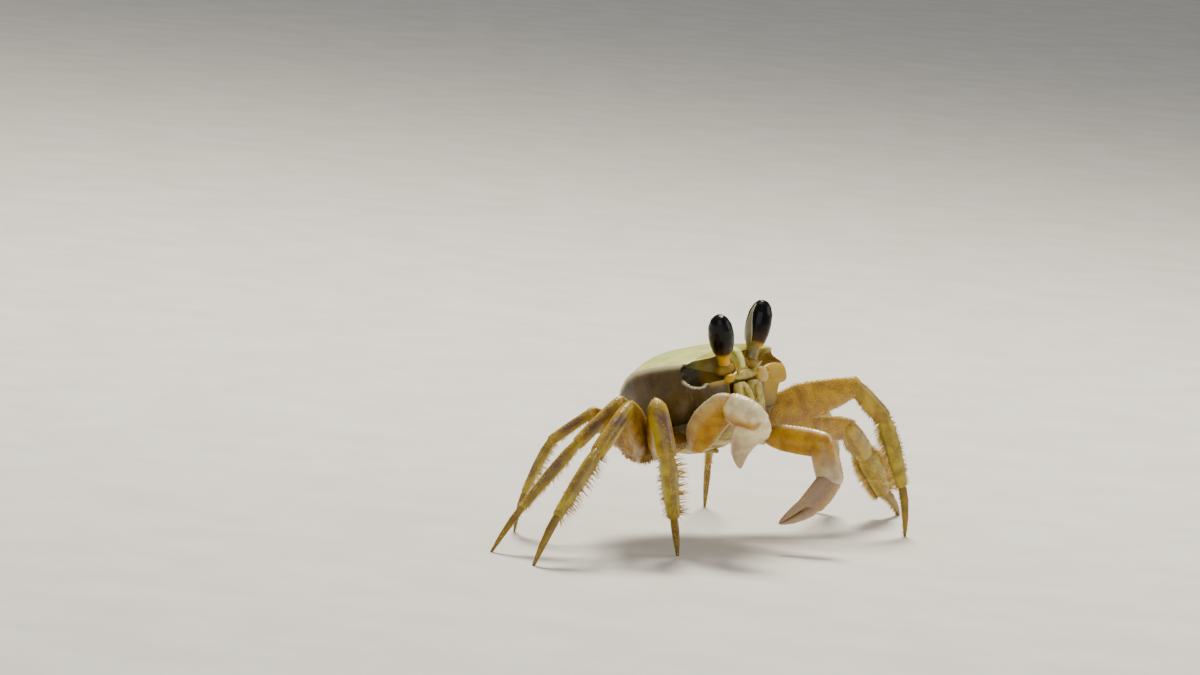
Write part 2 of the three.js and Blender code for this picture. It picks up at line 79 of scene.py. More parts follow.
# heading, lean, rise of merus, carpus and propodus, and whether the tip is tucked under
STANCE = {
    ("right", 2): (49.4, -14.2, 30.2, -62.5, -118.9, True),
    ("right", 3): (25.3, 17.1, 28.8, -42.1, -49.7, False),
    ("right", 4): (14.6, 23.6, 34.4, -44.5, -54.0, False),
    ("right", 5): (-5.6, 24.9, 29.7, -40.8, -83.8, True),
    ("left", 2): (18.4, -0.9, 24.0, -40.8, -66.5, False),
    ("left", 3): (8.9, -34.1, 3.7, -41.8, -44.3, False),
    ("left", 4): (-0.6, -34.2, 17.5, -40.5, -48.2, True),
    ("left", 5): (-40.0, 0.0, 23.2, -36.7, -65.5, False),
}
GIRTH = {("right", 2): 1.35}  # how much thicker a leg is than its pair's size
SLENDER = {("right", 4): 0.86, ("right", 5): 0.76}  # shins that are slimmer than their pair's size
# start on the body, height and thickness, and upward direction of each piece, and how far it arches
ARMS = {
    "right": dict(
        coxa=((9.7, -3.6, -16.2), (5.4, 4.4), (0, 0, 1)),
        merus=((12.2, -5.6, -18.9), (8.0, 4.4), (0.6, 0.5, 0.5)),
        carpus=((14.9, -19.9, -11.4), (7.6, 6.2), (0.1, 0, 1)),
        palm=((13.3, -26.4, -15.7), (9.0, 4.8), (-0.68, -0.72, -0.12)),
        tip=(8.0, -13.6, -26.4),
        bend=dict(merus=1.0)),
    "left": dict(
        coxa=((9.7, -3.5, -16.2), (5.0, 4.0), (0, 0, 1)),
        merus=((12.5, -5.5, -19.7), (6.3, 4.2), (0, -0.1, 1)),
        carpus=((17.1, -18.2, -25.0), (5.8, 5.0), (0.7, -0.7, 0.1)),
        palm=((16.2, -19.0, -33.6), (5.4, 4.4), (0.3, -0.27, -0.92)),
        tip=(2.6, -12.1, -41.1),
        bend=dict(palm=1.3)),
}
EYE_BASE = (0.13, -0.365, -0.045)
# lean backward and splay outward in degrees
EYES = {"right": (31, 23), "left": (21, 15)}
EYE_LENGTH = 14.4
# radius and height
EYE_PROFILE = ((0, 0), (1.5, 0.1), (1.45, 1.6), (1.7, 2.8), (2.45, 4.4), (2.9, 6.6), (3.02, 8.8),
               (2.8, 11.2), (2.05, 13.1), (1.15, 14.1), (0, 14.4))


def turned(degrees, axis):
    return Matrix.Rotation(math.radians(degrees), 4, axis)


BODY = (Matrix.Translation(ORIGIN_SHIFT + Vector((0, 0, RIDGE_HEIGHT)))
        @ turned(-BODY_PITCH, "X") @ turned(BODY_ROLL, "Y"))

# Body outline: station behind mid-carapace, half width, ridge height, rise of the back, depth.
BODY_STATIONS = np.array((
    (-0.385, 0.13, 0.0, 0.045, 0.4),
    (-0.36, 0.32, 0.0, 0.06, 0.43),
    (-0.325, 0.455, 0.0, 0.075, 0.47),
    (-0.2, 0.482, 0.02, 0.08, 0.53),
    (-0.05, 0.5, 0.035, 0.092, 0.565),
    (0.1, 0.492, 0.035, 0.1, 0.575),
    (0.2, 0.465, 0.01, 0.125, 0.565),
    (0.3, 0.435, -0.05, 0.165, 0.54),
    (0.37, 0.4, -0.1, 0.18, 0.5),
    (0.43, 0.345, -0.17, 0.18, 0.45),
    (0.47, 0.26, -0.23, 0.15, 0.4),
    (0.485, 0.12, -0.27, 0.08, 0.35),
))
# The side wall below the ridge: share of the half width, and share of the way down.
WALL = np.array(((1.0, 0.0), (1.06, -0.17), (1.09, -0.36), (1.04, -0.54), (0.89, -0.69), (0.6, -0.83),
                 (0.36, -0.94), (0.15, -0.99), (0.0, -1.0)))


# ---- numbers along curves ----

def smoothstep(low, high, x):
    t = np.clip((np.asarray(x, float) - low) / (high - low), 0, 1)
    return t * t * (3 - 2 * t)


def bump(x, centre, width):
    return np.exp(-((np.asarray(x, float) - centre) / width) ** 2)


def eased(values, share):
    """Rounds the corners of an evenly sampled line, keeping its two ends."""
    reach = max(2, int(len(values) * share))
    window = np.hanning(2 * reach + 3)[1:-1]
    window /= window.sum()
    before = 2 * values[0] - values[reach:0:-1]
    after = 2 * values[-1] - values[-2:-reach - 2:-1]
    return np.convolve(np.concatenate((before, values, after)), window, "valid")


def run_through(points, samples=600, share=0.02):
    """Samples a polyline evenly by length and eases its corners, one column per coordinate."""
    points = np.asarray(points, float)
    steps = np.linalg.norm(np.diff(points[:, :3], axis=0), axis=1)
    along = np.concatenate(((0,), np.cumsum(steps)))
    even = np.linspace(0, along[-1], samples)
    columns = [eased(np.interp(even, along, column), share) for column in points.T]
    return np.stack(columns, axis=1)


def off(turn, centre):
    """The angle from one turn to another, the short way round."""
    return np.angle(np.exp(1j * (turn - centre)))


def within(x, start, end, soft):
    """1 between two places, and 0 outside them."""
    return smoothstep(start, start + soft, x) * (1 - smoothstep(end - soft, end, x))


# ---- objects ----

def pick(*pieces):
    """Leaves only these pieces selected, the first of them active."""
    bpy.ops.object.select_all(action="DESELECT")
    for piece in pieces:
        piece.select_set(True)
    if pieces:
        bpy.context.view_layer.objects.active = pieces[0]


def ball(name, segments, rings, levels=0):
    """A ball, the start of every rounded piece. Each level doubles its segments and rings."""
    pick()
    bpy.ops.mesh.primitive_uv_sphere_add(segments=segments, ring_count=rings, radius=1)
    piece = bpy.context.object
    piece.name = piece.data.name = name
    if levels:
        finer = piece.modifiers.new("finer", "SUBSURF")
        finer.subdivision_type = "SIMPLE"
        finer.levels = finer.render_levels = levels
        bpy.ops.object.modifier_apply(modifier=finer.name)
    return piece


def directions(piece):
    """Share of the way from the lower to the upper pole, and turn round the axis, of a ball's vertices."""
    unit = np.empty(len(piece.data.vertices) * 3)
    piece.data.vertices.foreach_get("co", unit)
    unit = unit.reshape(-1, 3)
    unit /= np.linalg.norm(unit, axis=1, keepdims=True)
    return 1 - np.arccos(np.clip(unit[:, 2], -1, 1)) / math.pi, np.arctan2(unit[:, 1], unit[:, 0])


def placed(points, matrix):
    """Points of a frame, in the crab's own one."""
    return points @ np.array(matrix.to_3x3()).T + np.array(matrix.translation)


def reshape(piece, points_mm):
    piece.data.vertices.foreach_set("co", (points_mm * MM).ravel())
    piece.data.update()


def mark(piece, **marks):
    """Keeps numbers per vertex for the materials."""
    for name, values in marks.items():
        layer = piece.data.attributes.new(name, "FLOAT", "POINT")
        layer.data.foreach_set("value", np.zeros(len(piece.data.vertices)) + values)


def marked(piece, *names):
    """Reads marks back, one array for each name."""
    found = np.empty((len(names), len(piece.data.vertices)))
    for name, values in zip(names, found):
        piece.data.attributes[name].data.foreach_get("value", values)
    return found


def join(pieces, name):
    pick(*pieces)
    bpy.ops.object.join()
    pieces[0].name = pieces[0].data.name = name
    return pieces[0]


def face_outward(piece):
    pick(piece)
    bpy.ops.object.mode_set(mode="EDIT")
    bpy.ops.mesh.select_all(action="SELECT")
    bpy.ops.mesh.normals_make_consistent(inside=False)
    bpy.ops.object.mode_set(mode="OBJECT")


def settle(piece, material, slot, *nodes):
    """Smooths and colours a finished piece, parents it to the root and hides the solids it replaces."""
    pick(piece)
    bpy.ops.object.shade_smooth()
    piece.data.materials.append(material)
    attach(piece, "root")
    if nodes:
        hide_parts(*nodes)


# ---- limbs ----

class Limb:
    """A jointed piece along +X of its frame. Its outline: place, half thickness, half height and rise."""

    def __init__(self, frame_matrix, outline, pinch=0.0, square=2.0, share=0.02, relief=None):
        run = run_through([(*row, 0)[:4] for row in outline], share=share)
        self.columns = (run[:, 0], np.maximum(run[:, 1], 0), np.maximum(run[:, 2], 0), run[:, 3])
        self.start, self.end = run[:, 0].min(), run[:, 0].max()
        self.frame = frame_matrix
        self.pinch = pinch
        self.square = square
        self.relief = relief

    def local(self, t, turn):
        """Points at shares of the outline's length and turns round it, 0 at the front face and 90 on top."""
        index = np.arange(len(self.columns[0]))
        at = np.clip(t, 0, 1) * index[-1]
        x, thick, high, rise = (np.interp(at, index, column) for column in self.columns)
        across, up = (np.sign(v) * np.abs(v) ** (2 / self.square) for v in (np.cos(turn), np.sin(turn)))
        across = across * (1 - self.pinch * np.clip(up, 0, 1) ** 2)
        grow = self.relief(self.along(x), turn) if self.relief else 0
        return np.stack((x, across * (thick + grow), up * (high + grow) + rise), axis=-1)

    def along(self, x):
        return (x - self.start) / (self.end - self.start)

    def world(self, t, turn):
        return placed(self.local(t, turn), self.frame)

    def normals(self, t, turn):
        along = self.world(t + 0.002, turn) - self.world(t - 0.002, turn)
        around = self.world(t, turn + 0.01) - self.world(t, turn - 0.01)
        out = np.cross(around, along)
        return out / np.maximum(np.linalg.norm(out, axis=1, keepdims=True), TINY)

    def model(self, name, segments, rings, **marks):
        piece = ball(name, segments, rings)
        t, turn = directions(piece)
        local = self.local(t, turn)
        points = placed(local, self.frame)
        points[:, 2] = np.maximum(points[:, 2], 0)
        reshape(piece, points)
        mark(piece, along=self.along(local[:, 0]), crest=np.sin(turn), face=np.cos(turn), **marks)
        return piece


def aim(at, along, upward):
    """A frame at a place, its X along one way and its Z as near as can be to another."""
    x = along.normalized()
    y = upward.cross(x).normalized()
    return Matrix.Translation(at) @ Matrix((x, y, x.cross(y))).transposed().to_4x4()


def from_body(point, side=1):
    x, y, z = point
    return BODY @ Vector((side * x, y, z))


def body_way(x, y, z, side=1):
    return BODY.to_3x3() @ Vector((side * x, y, z))


UPRIGHT = Vector((0, 0, 1))
FORWARD = body_way(0, -1, 0)
UPWARD = body_way(0, 0, 1)


def reaching(start, end, upward, side=1):
    """A frame at one point of the body that looks at another."""
    start, end = from_body(start, side), from_body(end, side)
    return aim(start, end - start, upward)


def leg_frames(side, label, pair):
    """The frames of a leg's five pieces, and the length of the first."""
    sizes = PAIRS[pair]
    heading, lean, *rises, tucked = STANCE[label, pair]
    start, at = from_body(sizes["socket"], side), from_body(sizes["hip"], side)
    reach = (at - start).length
    frames = {"hip": aim(start, at - start, UPRIGHT)}
    plane = turned(-heading if side > 0 else 180 + heading, "Z") @ turned(-lean, "X")
    for part, rise in zip(("merus", "carpus", "propodus"), rises):
        frames[part] = Matrix.Translation(at) @ plane @ turned(-rise, "Y")
        at = frames[part] @ Vector((sizes[part][0], 0, 0))
    drop = math.degrees(math.asin(at.z / (sizes["dactyl"][0] * math.cos(math.radians(lean)))))
    frames["dactyl"] = Matrix.Translation(at) @ plane @ turned(180 - drop if tucked else drop, "Y")
    return frames, reach


# ---- outlines: place along the piece, thickness, height and rise, in shares of its sizes ----

MERUS = ((0.0, 0.62, 0.5, 0.02), (0.05, 0.74, 0.62, 0.03), (0.14, 0.88, 0.82, 0.06), (0.26, 1, 0.97, 0.08),
         (0.38, 1, 1.02, 0.08), (0.65, 0.95, 0.93, 0.06), (0.88, 0.9, 0.7, 0.03), (0.97, 0.95, 0.6, 0.0),
         (1.0, 0.95, 0.57, 0.0))
LIFTED_MERUS = ((0.0, 0.62, 0.56, 0.15), (0.05, 0.74, 0.72, 0.2), (0.1, 0.84, 0.86, 0.26),
                (0.26, 1, 1.02, 0.29), (0.45, 1, 1.08, 0.27), (0.65, 0.95, 1.0, 0.14), (0.86, 0.9, 0.77, 0.05),
                (0.97, 0.95, 0.6, 0.0),
                (1.0, 0.95, 0.57, 0.0))
BROAD_MERUS = ((0.0, 0.62, 0.54, 0.02), (0.14, 0.88, 0.84, 0.04), (0.36, 1, 1, 0.04), (0.65, 1, 1.02, 0.0),
               (0.88, 0.95, 0.92, -0.06), (0.97, 0.95, 0.82, -0.1), (1.0, 0.92, 0.76, -0.1))
CARPUS = ((0.0, 0.92, 0.72), (0.07, 0.96, 0.82), (0.2, 1.0, 0.91), (0.42, 1, 0.97), (0.75, 1, 1),
          (0.92, 0.98, 0.95), (1.0, 0.94, 0.9))
PROPODUS = ((0.0, 0.74, 0.72), (0.05, 0.82, 0.82, 0.02), (0.2, 1, 0.98, 0.05), (0.5, 0.96, 0.97, 0.07),
            (0.85, 0.8, 0.78, 0.03), (0.96, 0.76, 0.7), (1.0, 0.74, 0.66))
DACTYL = ((0.0, 0.78, 0.78), (0.08, 0.9, 0.92, 0.06), (0.3, 0.92, 0.9, 0.2), (0.65, 0.7, 0.64, 0.2),
          (0.9, 0.46, 0.4, 0.06), (1.0, 0.34, 0.28, 0))
HIP = ((-0.3, 0, 0), (-0.28, 0.5, 0.5), (0.0, 0.95, 1), (0.3, 1, 1.05), (0.45, 0.9, 0.94), (0.5, 0.86, 0.88),
       (0.56, 0.95, 0.96), (0.85, 1, 1), (0.98, 0.9, 0.85), (1.03, 0.5, 0.5), (1.03, 0, 0))
HIP_SIZE = (4.4, 2.9)


def sized(shape, length, high, thick, first=None, last=None, bend=0.0):
    """An outline in millimetres. first and last round its ends, in shares of the height there."""
    rows = [(x * length, t * thick / 2, h * high / 2,
             (rise[0] * high if rise else 0.0) + bend * math.sin(math.pi * min(1, max(0, x))))
            for x, t, h, *rise in shape]

    def dome(x, t, h, rise, reach):
        return [(x + reach * h * math.sin(a), t * math.cos(a), h * math.cos(a), rise)
                for a in np.radians(np.arange(10, 91, 10))]
    before = dome(*rows[0], -first)[::-1] if first else []
    return before + rows + (dome(*rows[-1], last) if last else [])


def swell(start, end, thick, high, power=1.0):
    """An outline that is round at both ends, its height rounded by a power."""
    middle, half = (start + end) / 2, (end - start) / 2
    return [(middle + half * math.sin(a), thick * math.cos(a), high * math.cos(a) ** power)
            for a in np.radians(np.arange(-90, 91, 10))]


def granules(height, spacing, width, centre, length):
    """Beads along a line at one turn round a limb."""
    def relief(share, turn):
        beads = 0.55 + 0.45 * np.cos(2 * math.pi * share * length / spacing)
        return height * beads * within(share, 0.05, 0.97, 0.05) * bump(off(turn, centre), 0, width)
    return relief


def merus_beads(height, length):
    """One line of beads on the upper edge of a merus, and two on its lower edge."""
    lines = [granules(height, 0.8, 0.12, math.pi / 2, length),
             granules(height * 0.7, 1.0, 0.12, -math.pi / 2 + 0.35, length),
             granules(height * 0.7, 1.0, 0.12, -math.pi / 2 - 0.35, length)]
    return lambda share, turn: sum(line(share, turn) for line in lines)


def ridges(height, count, start, end):
    """Lengthwise ribs all round a limb."""
    return lambda share, turn: height * within(share, start, end, 0.12) * np.cos(turn * count) * 0.5


# ---- materials ----

class Nodes:
    """Adds and links the shader nodes of one finish. A text names one of the crab's colours."""

    def __init__(self, name, colours=None):
        self.material = bpy.data.materials.new(name)
        self.material.use_nodes = True
        self.tree = self.material.node_tree
        self.shader = self.tree.nodes["Principled BSDF"]
        self.colours = colours

    def give(self, socket, value):
        if isinstance(value, bpy.types.NodeSocket):
            self.tree.links.new(value, socket)
        else:
            socket.default_value = (*getattr(self.colours, value), 1.0) if isinstance(value, str) else value

    def add(self, kind, output, inputs, **settings):
        node = self.tree.nodes.new(kind)
        for key, value in settings.items():
            setattr(node, key, value)
        for key, value in inputs.items():
            self.give(node.inputs[key], value)
        return node.outputs[output]

    def place(self):
        return self.add("ShaderNodeTexCoord", "Object", {})

    def value(self, name):
        return self.add("ShaderNodeAttribute", "Fac", {}, attribute_name=name)

    def noise(self, scale, detail=4):
        return self.add("ShaderNodeTexNoise", "Fac", {
            "Vector": self.place(), "Scale": scale, "Detail": detail, "Roughness": 0.55})

    def cells(self, scale):
        return self.add("ShaderNodeTexVoronoi", "Distance", {"Vector": self.place(), "Scale": scale})

    def fit(self, value, low, high, to_low=0.0, to_high=1.0):
        return self.add("ShaderNodeMapRange", "Result", {"Value": value, "From Min": low, "From Max": high,
                                                         "To Min": to_low, "To Max": to_high},
                        interpolation_type="SMOOTHSTEP")

    def times(self, first, second):
        return self.add("ShaderNodeMath", 0, {0: first, 1: second}, operation="MULTIPLY")

    def blend(self, factor, first, second):
        return self.add("ShaderNodeMix", 2, {0: factor, 6: first, 7: second}, data_type="RGBA")

    def mottled(self, cloud, first, second, low=0.35, high=0.65):
        return self.blend(self.fit(cloud, low, high), first, second)

    def over(self, color, name, paint, share=None):
        """Lays a paint over a colour where a mark says so."""
        mask = self.value(name)
        return self.blend(mask if share is None else self.times(mask, share), color, paint)

    def relief(self, *layers):
        """Stacks bumps, each a height socket, its depth in metres and its strength."""
        below = {}
        for height, depth, strength in layers:
            below["Normal"] = self.add("ShaderNodeBump", "Normal", {"Height": height, "Distance": depth,
                                                                    "Strength": strength, **below})
        self.give(self.shader.inputs["Normal"], below["Normal"])

    def finish(self, color, roughness, **settings):
        for key, value in dict(Base_Color=color, Roughness=roughness, **settings).items():
            self.give(self.shader.inputs[key.replace("_", " ")], value)
        return self.material


def shade(red, green, blue):
    """A colour given as it looks on a screen, from 0 to 255."""
    def linear(v):
        v /= 255
        return v / 12.92 if v <= 0.04045 else ((v + 0.055) / 1.055) ** 2.4
    return (linear(red), linear(green), linear(blue), 1.0)


def shell_finish(colours):
    make = Nodes("carapace_shell", colours)
    blotch, fine, grain = make.noise(260, 5), make.noise(1500, 3), make.cells(1700)
    # painted shade: below the ridge the side wall takes darker colours than the back
    wall = make.mottled(blotch, "wall", "wall_shade", 0.3, 0.7)
    color = make.over(wall, "top", make.mottled(blotch, "back", "back_mottle"))
    # yellow skin round the orbits, together with painted light in the sockets, on the left cheek and on the
    # left plates
    color = make.over(color, "warm", "orbit_rim", 0.9)
    # painted shade in the sockets and the mouth gap, in the orbit colour
    color = make.over(color, "dark", "orbit")
    color = make.over(color, "line", "ridge", 0.95)
    color = make.blend(make.fit(fine, 0.55, 0.8, 0, 0.25), color, shade(120, 112, 80))
    make.relief((grain, 0.00012, 0.35), (fine, 0.0001, 0.3), (blotch, 0.0005, 0.15))
    return make.finish(color, make.fit(blotch, 0.3, 0.7, 0.36, 0.5), Subsurface_Weight=0.08,
                       Subsurface_Scale=0.0012, Specular_IOR_Level=0.32, Coat_Weight=0.1, Coat_Roughness=0.25)


def leg_finish(colours):
    make = Nodes("leg_shell", colours)
    cloud, fine, grain, grainy = make.noise(300), make.noise(1800, 3), make.cells(2300), make.value("grainy")
    color = make.over(make.mottled(cloud, "leg", "leg_deep"), "shin", make.mottled(cloud, "shin", "shin_deep"))
    color = make.over(color, "edge", "leg_edge")
    color = make.over(color, "dusk", "dactyl")
    color = make.over(color, "streak", "streak", make.fit(cloud, 0.3, 0.6, 0.55, 1.0))
    color = make.over(color, "joint", "joint")
    color = make.over(color, "grainy", "ridge", make.fit(grain, 0.1, 0.4, 0.22, 0.0))
    make.relief((make.times(grain, grainy), 0.00022, 0.6), (fine, 0.00008, 0.3))
    return make.finish(color, make.fit(cloud, 0.3, 0.7, 0.22, 0.34), Subsurface_Weight=0.12,
                       Subsurface_Scale=0.0012, Subsurface_Radius=(1.0, 0.7, 0.1), Specular_IOR_Level=0.3,
                       Coat_Weight=0.22, Coat_Roughness=0.07)


def arm_finish(colours):
    make = Nodes("claw_shell", colours)
    cloud, fine, grain = make.noise(320), make.noise(1700, 3), make.cells(2100)
    ivory = make.over(make.mottled(cloud, "claw", "claw_blush"), "dusk", "claw_dusk")
    color = make.over(ivory, "golden", make.mottled(cloud, "arm", "arm_deep"))
    color = make.over(color, "line", "ridge")
    make.relief((grain, 0.00016, 0.4), (fine, 0.00008, 0.25))
    return make.finish(color, make.fit(cloud, 0.3, 0.7, 0.26, 0.4), Subsurface_Weight=0.3,
                       Subsurface_Scale=0.0018, Subsurface_Radius=(1.0, 0.8, 0.5), Specular_IOR_Level=0.35,
                       Coat_Weight=0.25, Coat_Roughness=0.15)


def mouth_finish(colours):
    make = Nodes("mouth_plates", colours)
    cloud = make.noise(420)
    color = make.over(make.mottled(cloud, "mouth", "mouth_shade"), "line", "orbit")
    make.relief((make.cells(2600), 0.0001, 0.35), (cloud, 0.0002, 0.3))
    return make.finish(color, 0.42, Subsurface_Weight=0.2, Subsurface_Scale=0.001, Coat_Weight=0.2,
                       Coat_Roughness=0.3)


def cornea_finish(colours):
    make = Nodes("cornea", colours)
    along = make.value("along")
    color = make.blend(make.fit(along, 0.2, 0.34), "orbit_rim", "cornea_foot")
    color = make.blend(make.fit(along, 0.26, 0.55), color, "cornea")
    make.relief((make.cells(9000), 0.00001, 0.1))
    return make.finish(color, 0.24, Specular_IOR_Level=0.12, Coat_Weight=0.12, Coat_Roughness=0.05)


def stalk_finish(colours):
    make = Nodes("eyestalk_shell", colours)
    cloud, along = make.noise(500), make.value("along")
    color = make.mottled(cloud, "stalk", "stalk_shade")
    foot = make.over("orbit_rim", "dusk", color)
    color = make.blend(make.fit(along, 0.2, 0.45), foot, color)
    color = make.blend(make.fit(along, 0.35, 0.5), color, "strip")
    # painted highlight along the edge of the eyes' bare strip, in the ridge colour
    color = make.over(color, "line", "ridge")
    make.relief((cloud, 0.0001, 0.3))
    return make.finish(color, 0.35, Subsurface_Weight=0.2, Subsurface_Scale=0.001, Coat_Weight=0.4,
                       Coat_Roughness=0.15)


def bristle_finish(colours):
    make = Nodes("bristles", colours)
    color = make.mottled(make.noise(700, 2), "bristle", "bristle_shade", 0.3, 0.7)
    return make.finish(color, 0.45, Subsurface_Weight=0.1, Subsurface_Scale=0.0005)


# ---- body ----

FRONT_STATION, REAR_STATION = -0.325, 0.485  # where the front face meets the back, and the body's rear end
FACE_SHARE = 0.34  # share of the rings that lie on the front face
FACE_MIDDLE = -5.0  # height of the front face's middle
WALL_RUN = run_through(WALL, samples=300, share=0.05)


def body_outline(behind):
    """Half width, ridge, rise and depth at places along the body, in millimetres."""
    run = run_through(BODY_STATIONS, samples=900, share=0.035)
    return [np.interp(behind, run[:, 0], column) * CARAPACE_WIDTH for column in run.T[1:]]


def body_section(behind, turn):
    """Points round the body: turn 0 on the back's midline, 0.5 on the ridge, 1 under the belly."""
    half, ridge, rise, depth = body_outline(behind)
    upper = np.clip(turn / 0.5, 0, 1) * math.pi / 2
    lower = np.clip((turn - 0.5) / 0.5, 0, 1)
    out, down = (np.interp(lower, np.linspace(0, 1, len(WALL_RUN)), column) for column in WALL_RUN.T)
    x = np.where(turn < 0.5, half * np.sin(upper), half * out)
    z = np.where(turn < 0.5, ridge + rise * np.cos(upper) ** 2, ridge + (depth + ridge) * down)
    return x, z


def body_points(t, turn, side):
    """t runs from the middle of the front face, over its edge, to the rear."""
    on_face = t < FACE_SHARE
    rest = np.clip((t - FACE_SHARE) / (1 - FACE_SHARE), 0, 1)
    behind = FRONT_STATION + (REAR_STATION - FRONT_STATION) * (1 - (1 - rest) ** 1.35)
    x, z = body_section(behind, turn)
    close = smoothstep(0.93, 1.0, rest)
    x = x * (1 - close ** 3)
    z = z * (1 - close ** 3) - close ** 3 * 0.3 * CARAPACE_WIDTH
    y = behind * CARAPACE_WIDTH + 0.35 * close
    spread = np.where(on_face, np.clip(t / FACE_SHARE, 0, 1) ** 0.9, 1)
    x = x * spread
    z = FACE_MIDDLE + (z - FACE_MIDDLE) * spread
    reach = (2.2 - 1.2 * smoothstep(-6, -17, z)) * (1 - spread ** 2.2)
    y = np.where(on_face, FRONT_STATION * CARAPACE_WIDTH - reach, y)
    return np.stack((side * x, y, z), axis=-1)


def model_body(name, segments, rings, levels):
    """A ball, its vertices' places on the body, and how far back and round the body they lie."""
    piece = ball(name, segments, rings, levels)
    climb, round_angle = directions(piece)
    t = 1 - climb
    across = np.arctan2(np.cos(round_angle), np.sin(round_angle))
    turn = np.abs(across) / math.pi
    return piece, rounded_cheeks(body_points(t, turn, np.where(across < 0, -1.0, 1.0))), t, turn


CHEEK = 8.9  # width of the rounded corner below each orbit
ORBIT_DEPTH = 3.9
ORBIT_BACK, ORBIT_SLANT = 0.97, 0.243  # how far backward and sideways the eye sockets look


def rounded_cheeks(points):
    """Rounds the upright corners between the front face and the side walls, below the orbits."""
    x, y, z = points.T
    a = np.clip((np.abs(x) - 9.0) / CHEEK, 0, None)
    b = np.clip((-y - 5.5) / 7.2, 0, None)
    shrink = np.where((a > 0) & (b > 0), np.maximum(a, b) / np.maximum(np.hypot(a, b), 1e-6), 1)
    weight = 0.8 * smoothstep(-5.0, -9.5, z)
    shrink = 1 - weight * (1 - shrink)
    points[:, 0] = np.where(a > 0, np.sign(x) * (9.0 + a * CHEEK * shrink), x)
    points[:, 1] = np.where(b > 0, -5.5 - b * 7.2 * shrink, y)
    return points


def orbit(points):
    """The eye socket's stencil: 0 in its middle and 1 on its rim, the height in it, and the place along it."""
    x, y, z = points.T
    ax = np.abs(x)
    along = (ax - 9.6) * ORBIT_BACK + (y + 12.3) * ORBIT_SLANT
    roof = 0.45 - 0.4 * smoothstep(13.2, 16.4, ax) + 0.5 * (1 - smoothstep(2, 9, ax))
    floor = -5.3 - 0.6 * smoothstep(9, 13, ax) + 0.5 * bump(ax, 11.9, 0.6)
    level = (z - (roof + floor) / 2) / ((roof - floor) / 2)
    rim = np.abs(along / 7.9) ** np.where(level > 0, 9, 4) + np.abs(level) ** np.where(level > 0, 3.5, 2.4)
    rim = np.where(y < -7.5, rim, 9.0)
    return rim, level, along


def carapace_relief(points, t, turn):
    """Sinks the orbits, raises their rims and the lateral ridge. Returns the points and the colour masks."""
    x, y, z = points.T.copy()
    ax, side = np.abs(x), np.sign(x)
    left = side > 0
    on_face = t < FACE_SHARE * 1.02
    rim, level, along = orbit(points)
    pit = np.clip(1 - rim, 0, 1) ** 0.42
    beads = 0.6 + 0.4 * np.cos(2 * math.pi * along / 0.8)
    lower = bump(rim, 1.14, 0.13) * smoothstep(-0.1, -0.5, level)
    upper = bump(rim, 1.12, 0.14) * smoothstep(0.1, 0.5, level) * on_face
    # the beaded ridge along each side
    ridge = bump(turn, 0.5, 0.011) * smoothstep(FACE_SHARE * 0.97, FACE_SHARE * 1.03, t)
    ridge *= 1 - smoothstep(0.8, 0.92, t)
    push = ridge * (0.336 + 0.064 * np.cos(2 * math.pi * y / 0.75))
    # faint grooves on the back
    top = 1 - smoothstep(0.45, 0.5, turn)
    groove = bump(ax, 5.2 + 0.3 * np.abs(y + 1), 0.8) * bump(y, 1.0, 7.5)
    cross = bump(y, 0.4 + 0.05 * ax ** 1.4, 0.9) * (1 - smoothstep(5, 7.5, ax))
    # the frame of the mouth
    frame_edge = bump(ax, 5.7, 0.6) * bump(z, -11, 4.6) * on_face
    mouth = smoothstep(5.4, 4.8, ax) * smoothstep(-6.2, -7.2, z) * on_face
    points[:, 0] += side * (0.8 * push - ORBIT_DEPTH * ORBIT_SLANT * pit)
    points[:, 1] += ORBIT_DEPTH * ORBIT_BACK * pit - lower * (0.3 + 0.15 * beads) - 0.12 * upper
    points[:, 1] += 1.4 * mouth - 0.45 * frame_edge
    points[:, 2] += 0.12 * lower * beads + 0.6 * push - top * (0.26 * groove + 0.2 * cross) * ~on_face
    # the left orbit's roof is cut back at its corner
    points[:, 0] -= 1.6 * left * smoothstep(13, 16.4, ax) * smoothstep(-3.8, -1.2, z) * smoothstep(-5, -11, y)
    # yellow skin round the orbits, made stronger on the left as painted light shining through the shell
    warm_rim = np.where(left, 0.35 + 0.65 * smoothstep(15.5, 9, ax), smoothstep(12.5, 9, ax))
    warm_rim *= bump(rim, 1.3, 0.7) * (y < -8.5)
    # painted light: the middle of each socket, and the whole left socket, lit yellow
    warm_pit = pit * (0.6 * (1 - smoothstep(8.5, 12.5, ax)) + 0.9 * left)
    # painted light: yellow light shining through the left cheek below the orbit
    lit_cheek = smoothstep(6, 8, ax) * smoothstep(-16, -7.5, z) * (1 - smoothstep(-5.2, -4.2, z))
    lit_cheek *= smoothstep(-2.5, -11.5, y) * 0.7 * left
    line = ridge * 1.1 + lower * (0.3 + 1.3 * smoothstep(11.2, 12.4, ax)) + 0.5 * upper
    # painted shade: darker deep in the sockets, most at their outer ends and less on the left, and in the mouth
    # gap
    dark = pit ** 0.7 * (0.62 + 0.36 * smoothstep(10, 13.5, ax)) * np.where(left, 0.45, 1) + 0.2 * mouth
    warm = 0.75 * warm_rim + warm_pit + 0.25 * frame_edge + lit_cheek
    return points, dict(top=top, line=np.clip(line, 0, 1), dark=np.clip(dark, 0, 1), warm=np.clip(warm, 0, 1))


class CrabColours(bpy.types.PropertyGroup):
    """Colours of the crab's shells."""


def colour(name, description, red, green, blue):
    return bpy.props.FloatVectorProperty(name=name, description=description, subtype="COLOR", size=3,
                                         min=0, max=1, default=shade(red, green, blue)[:3])


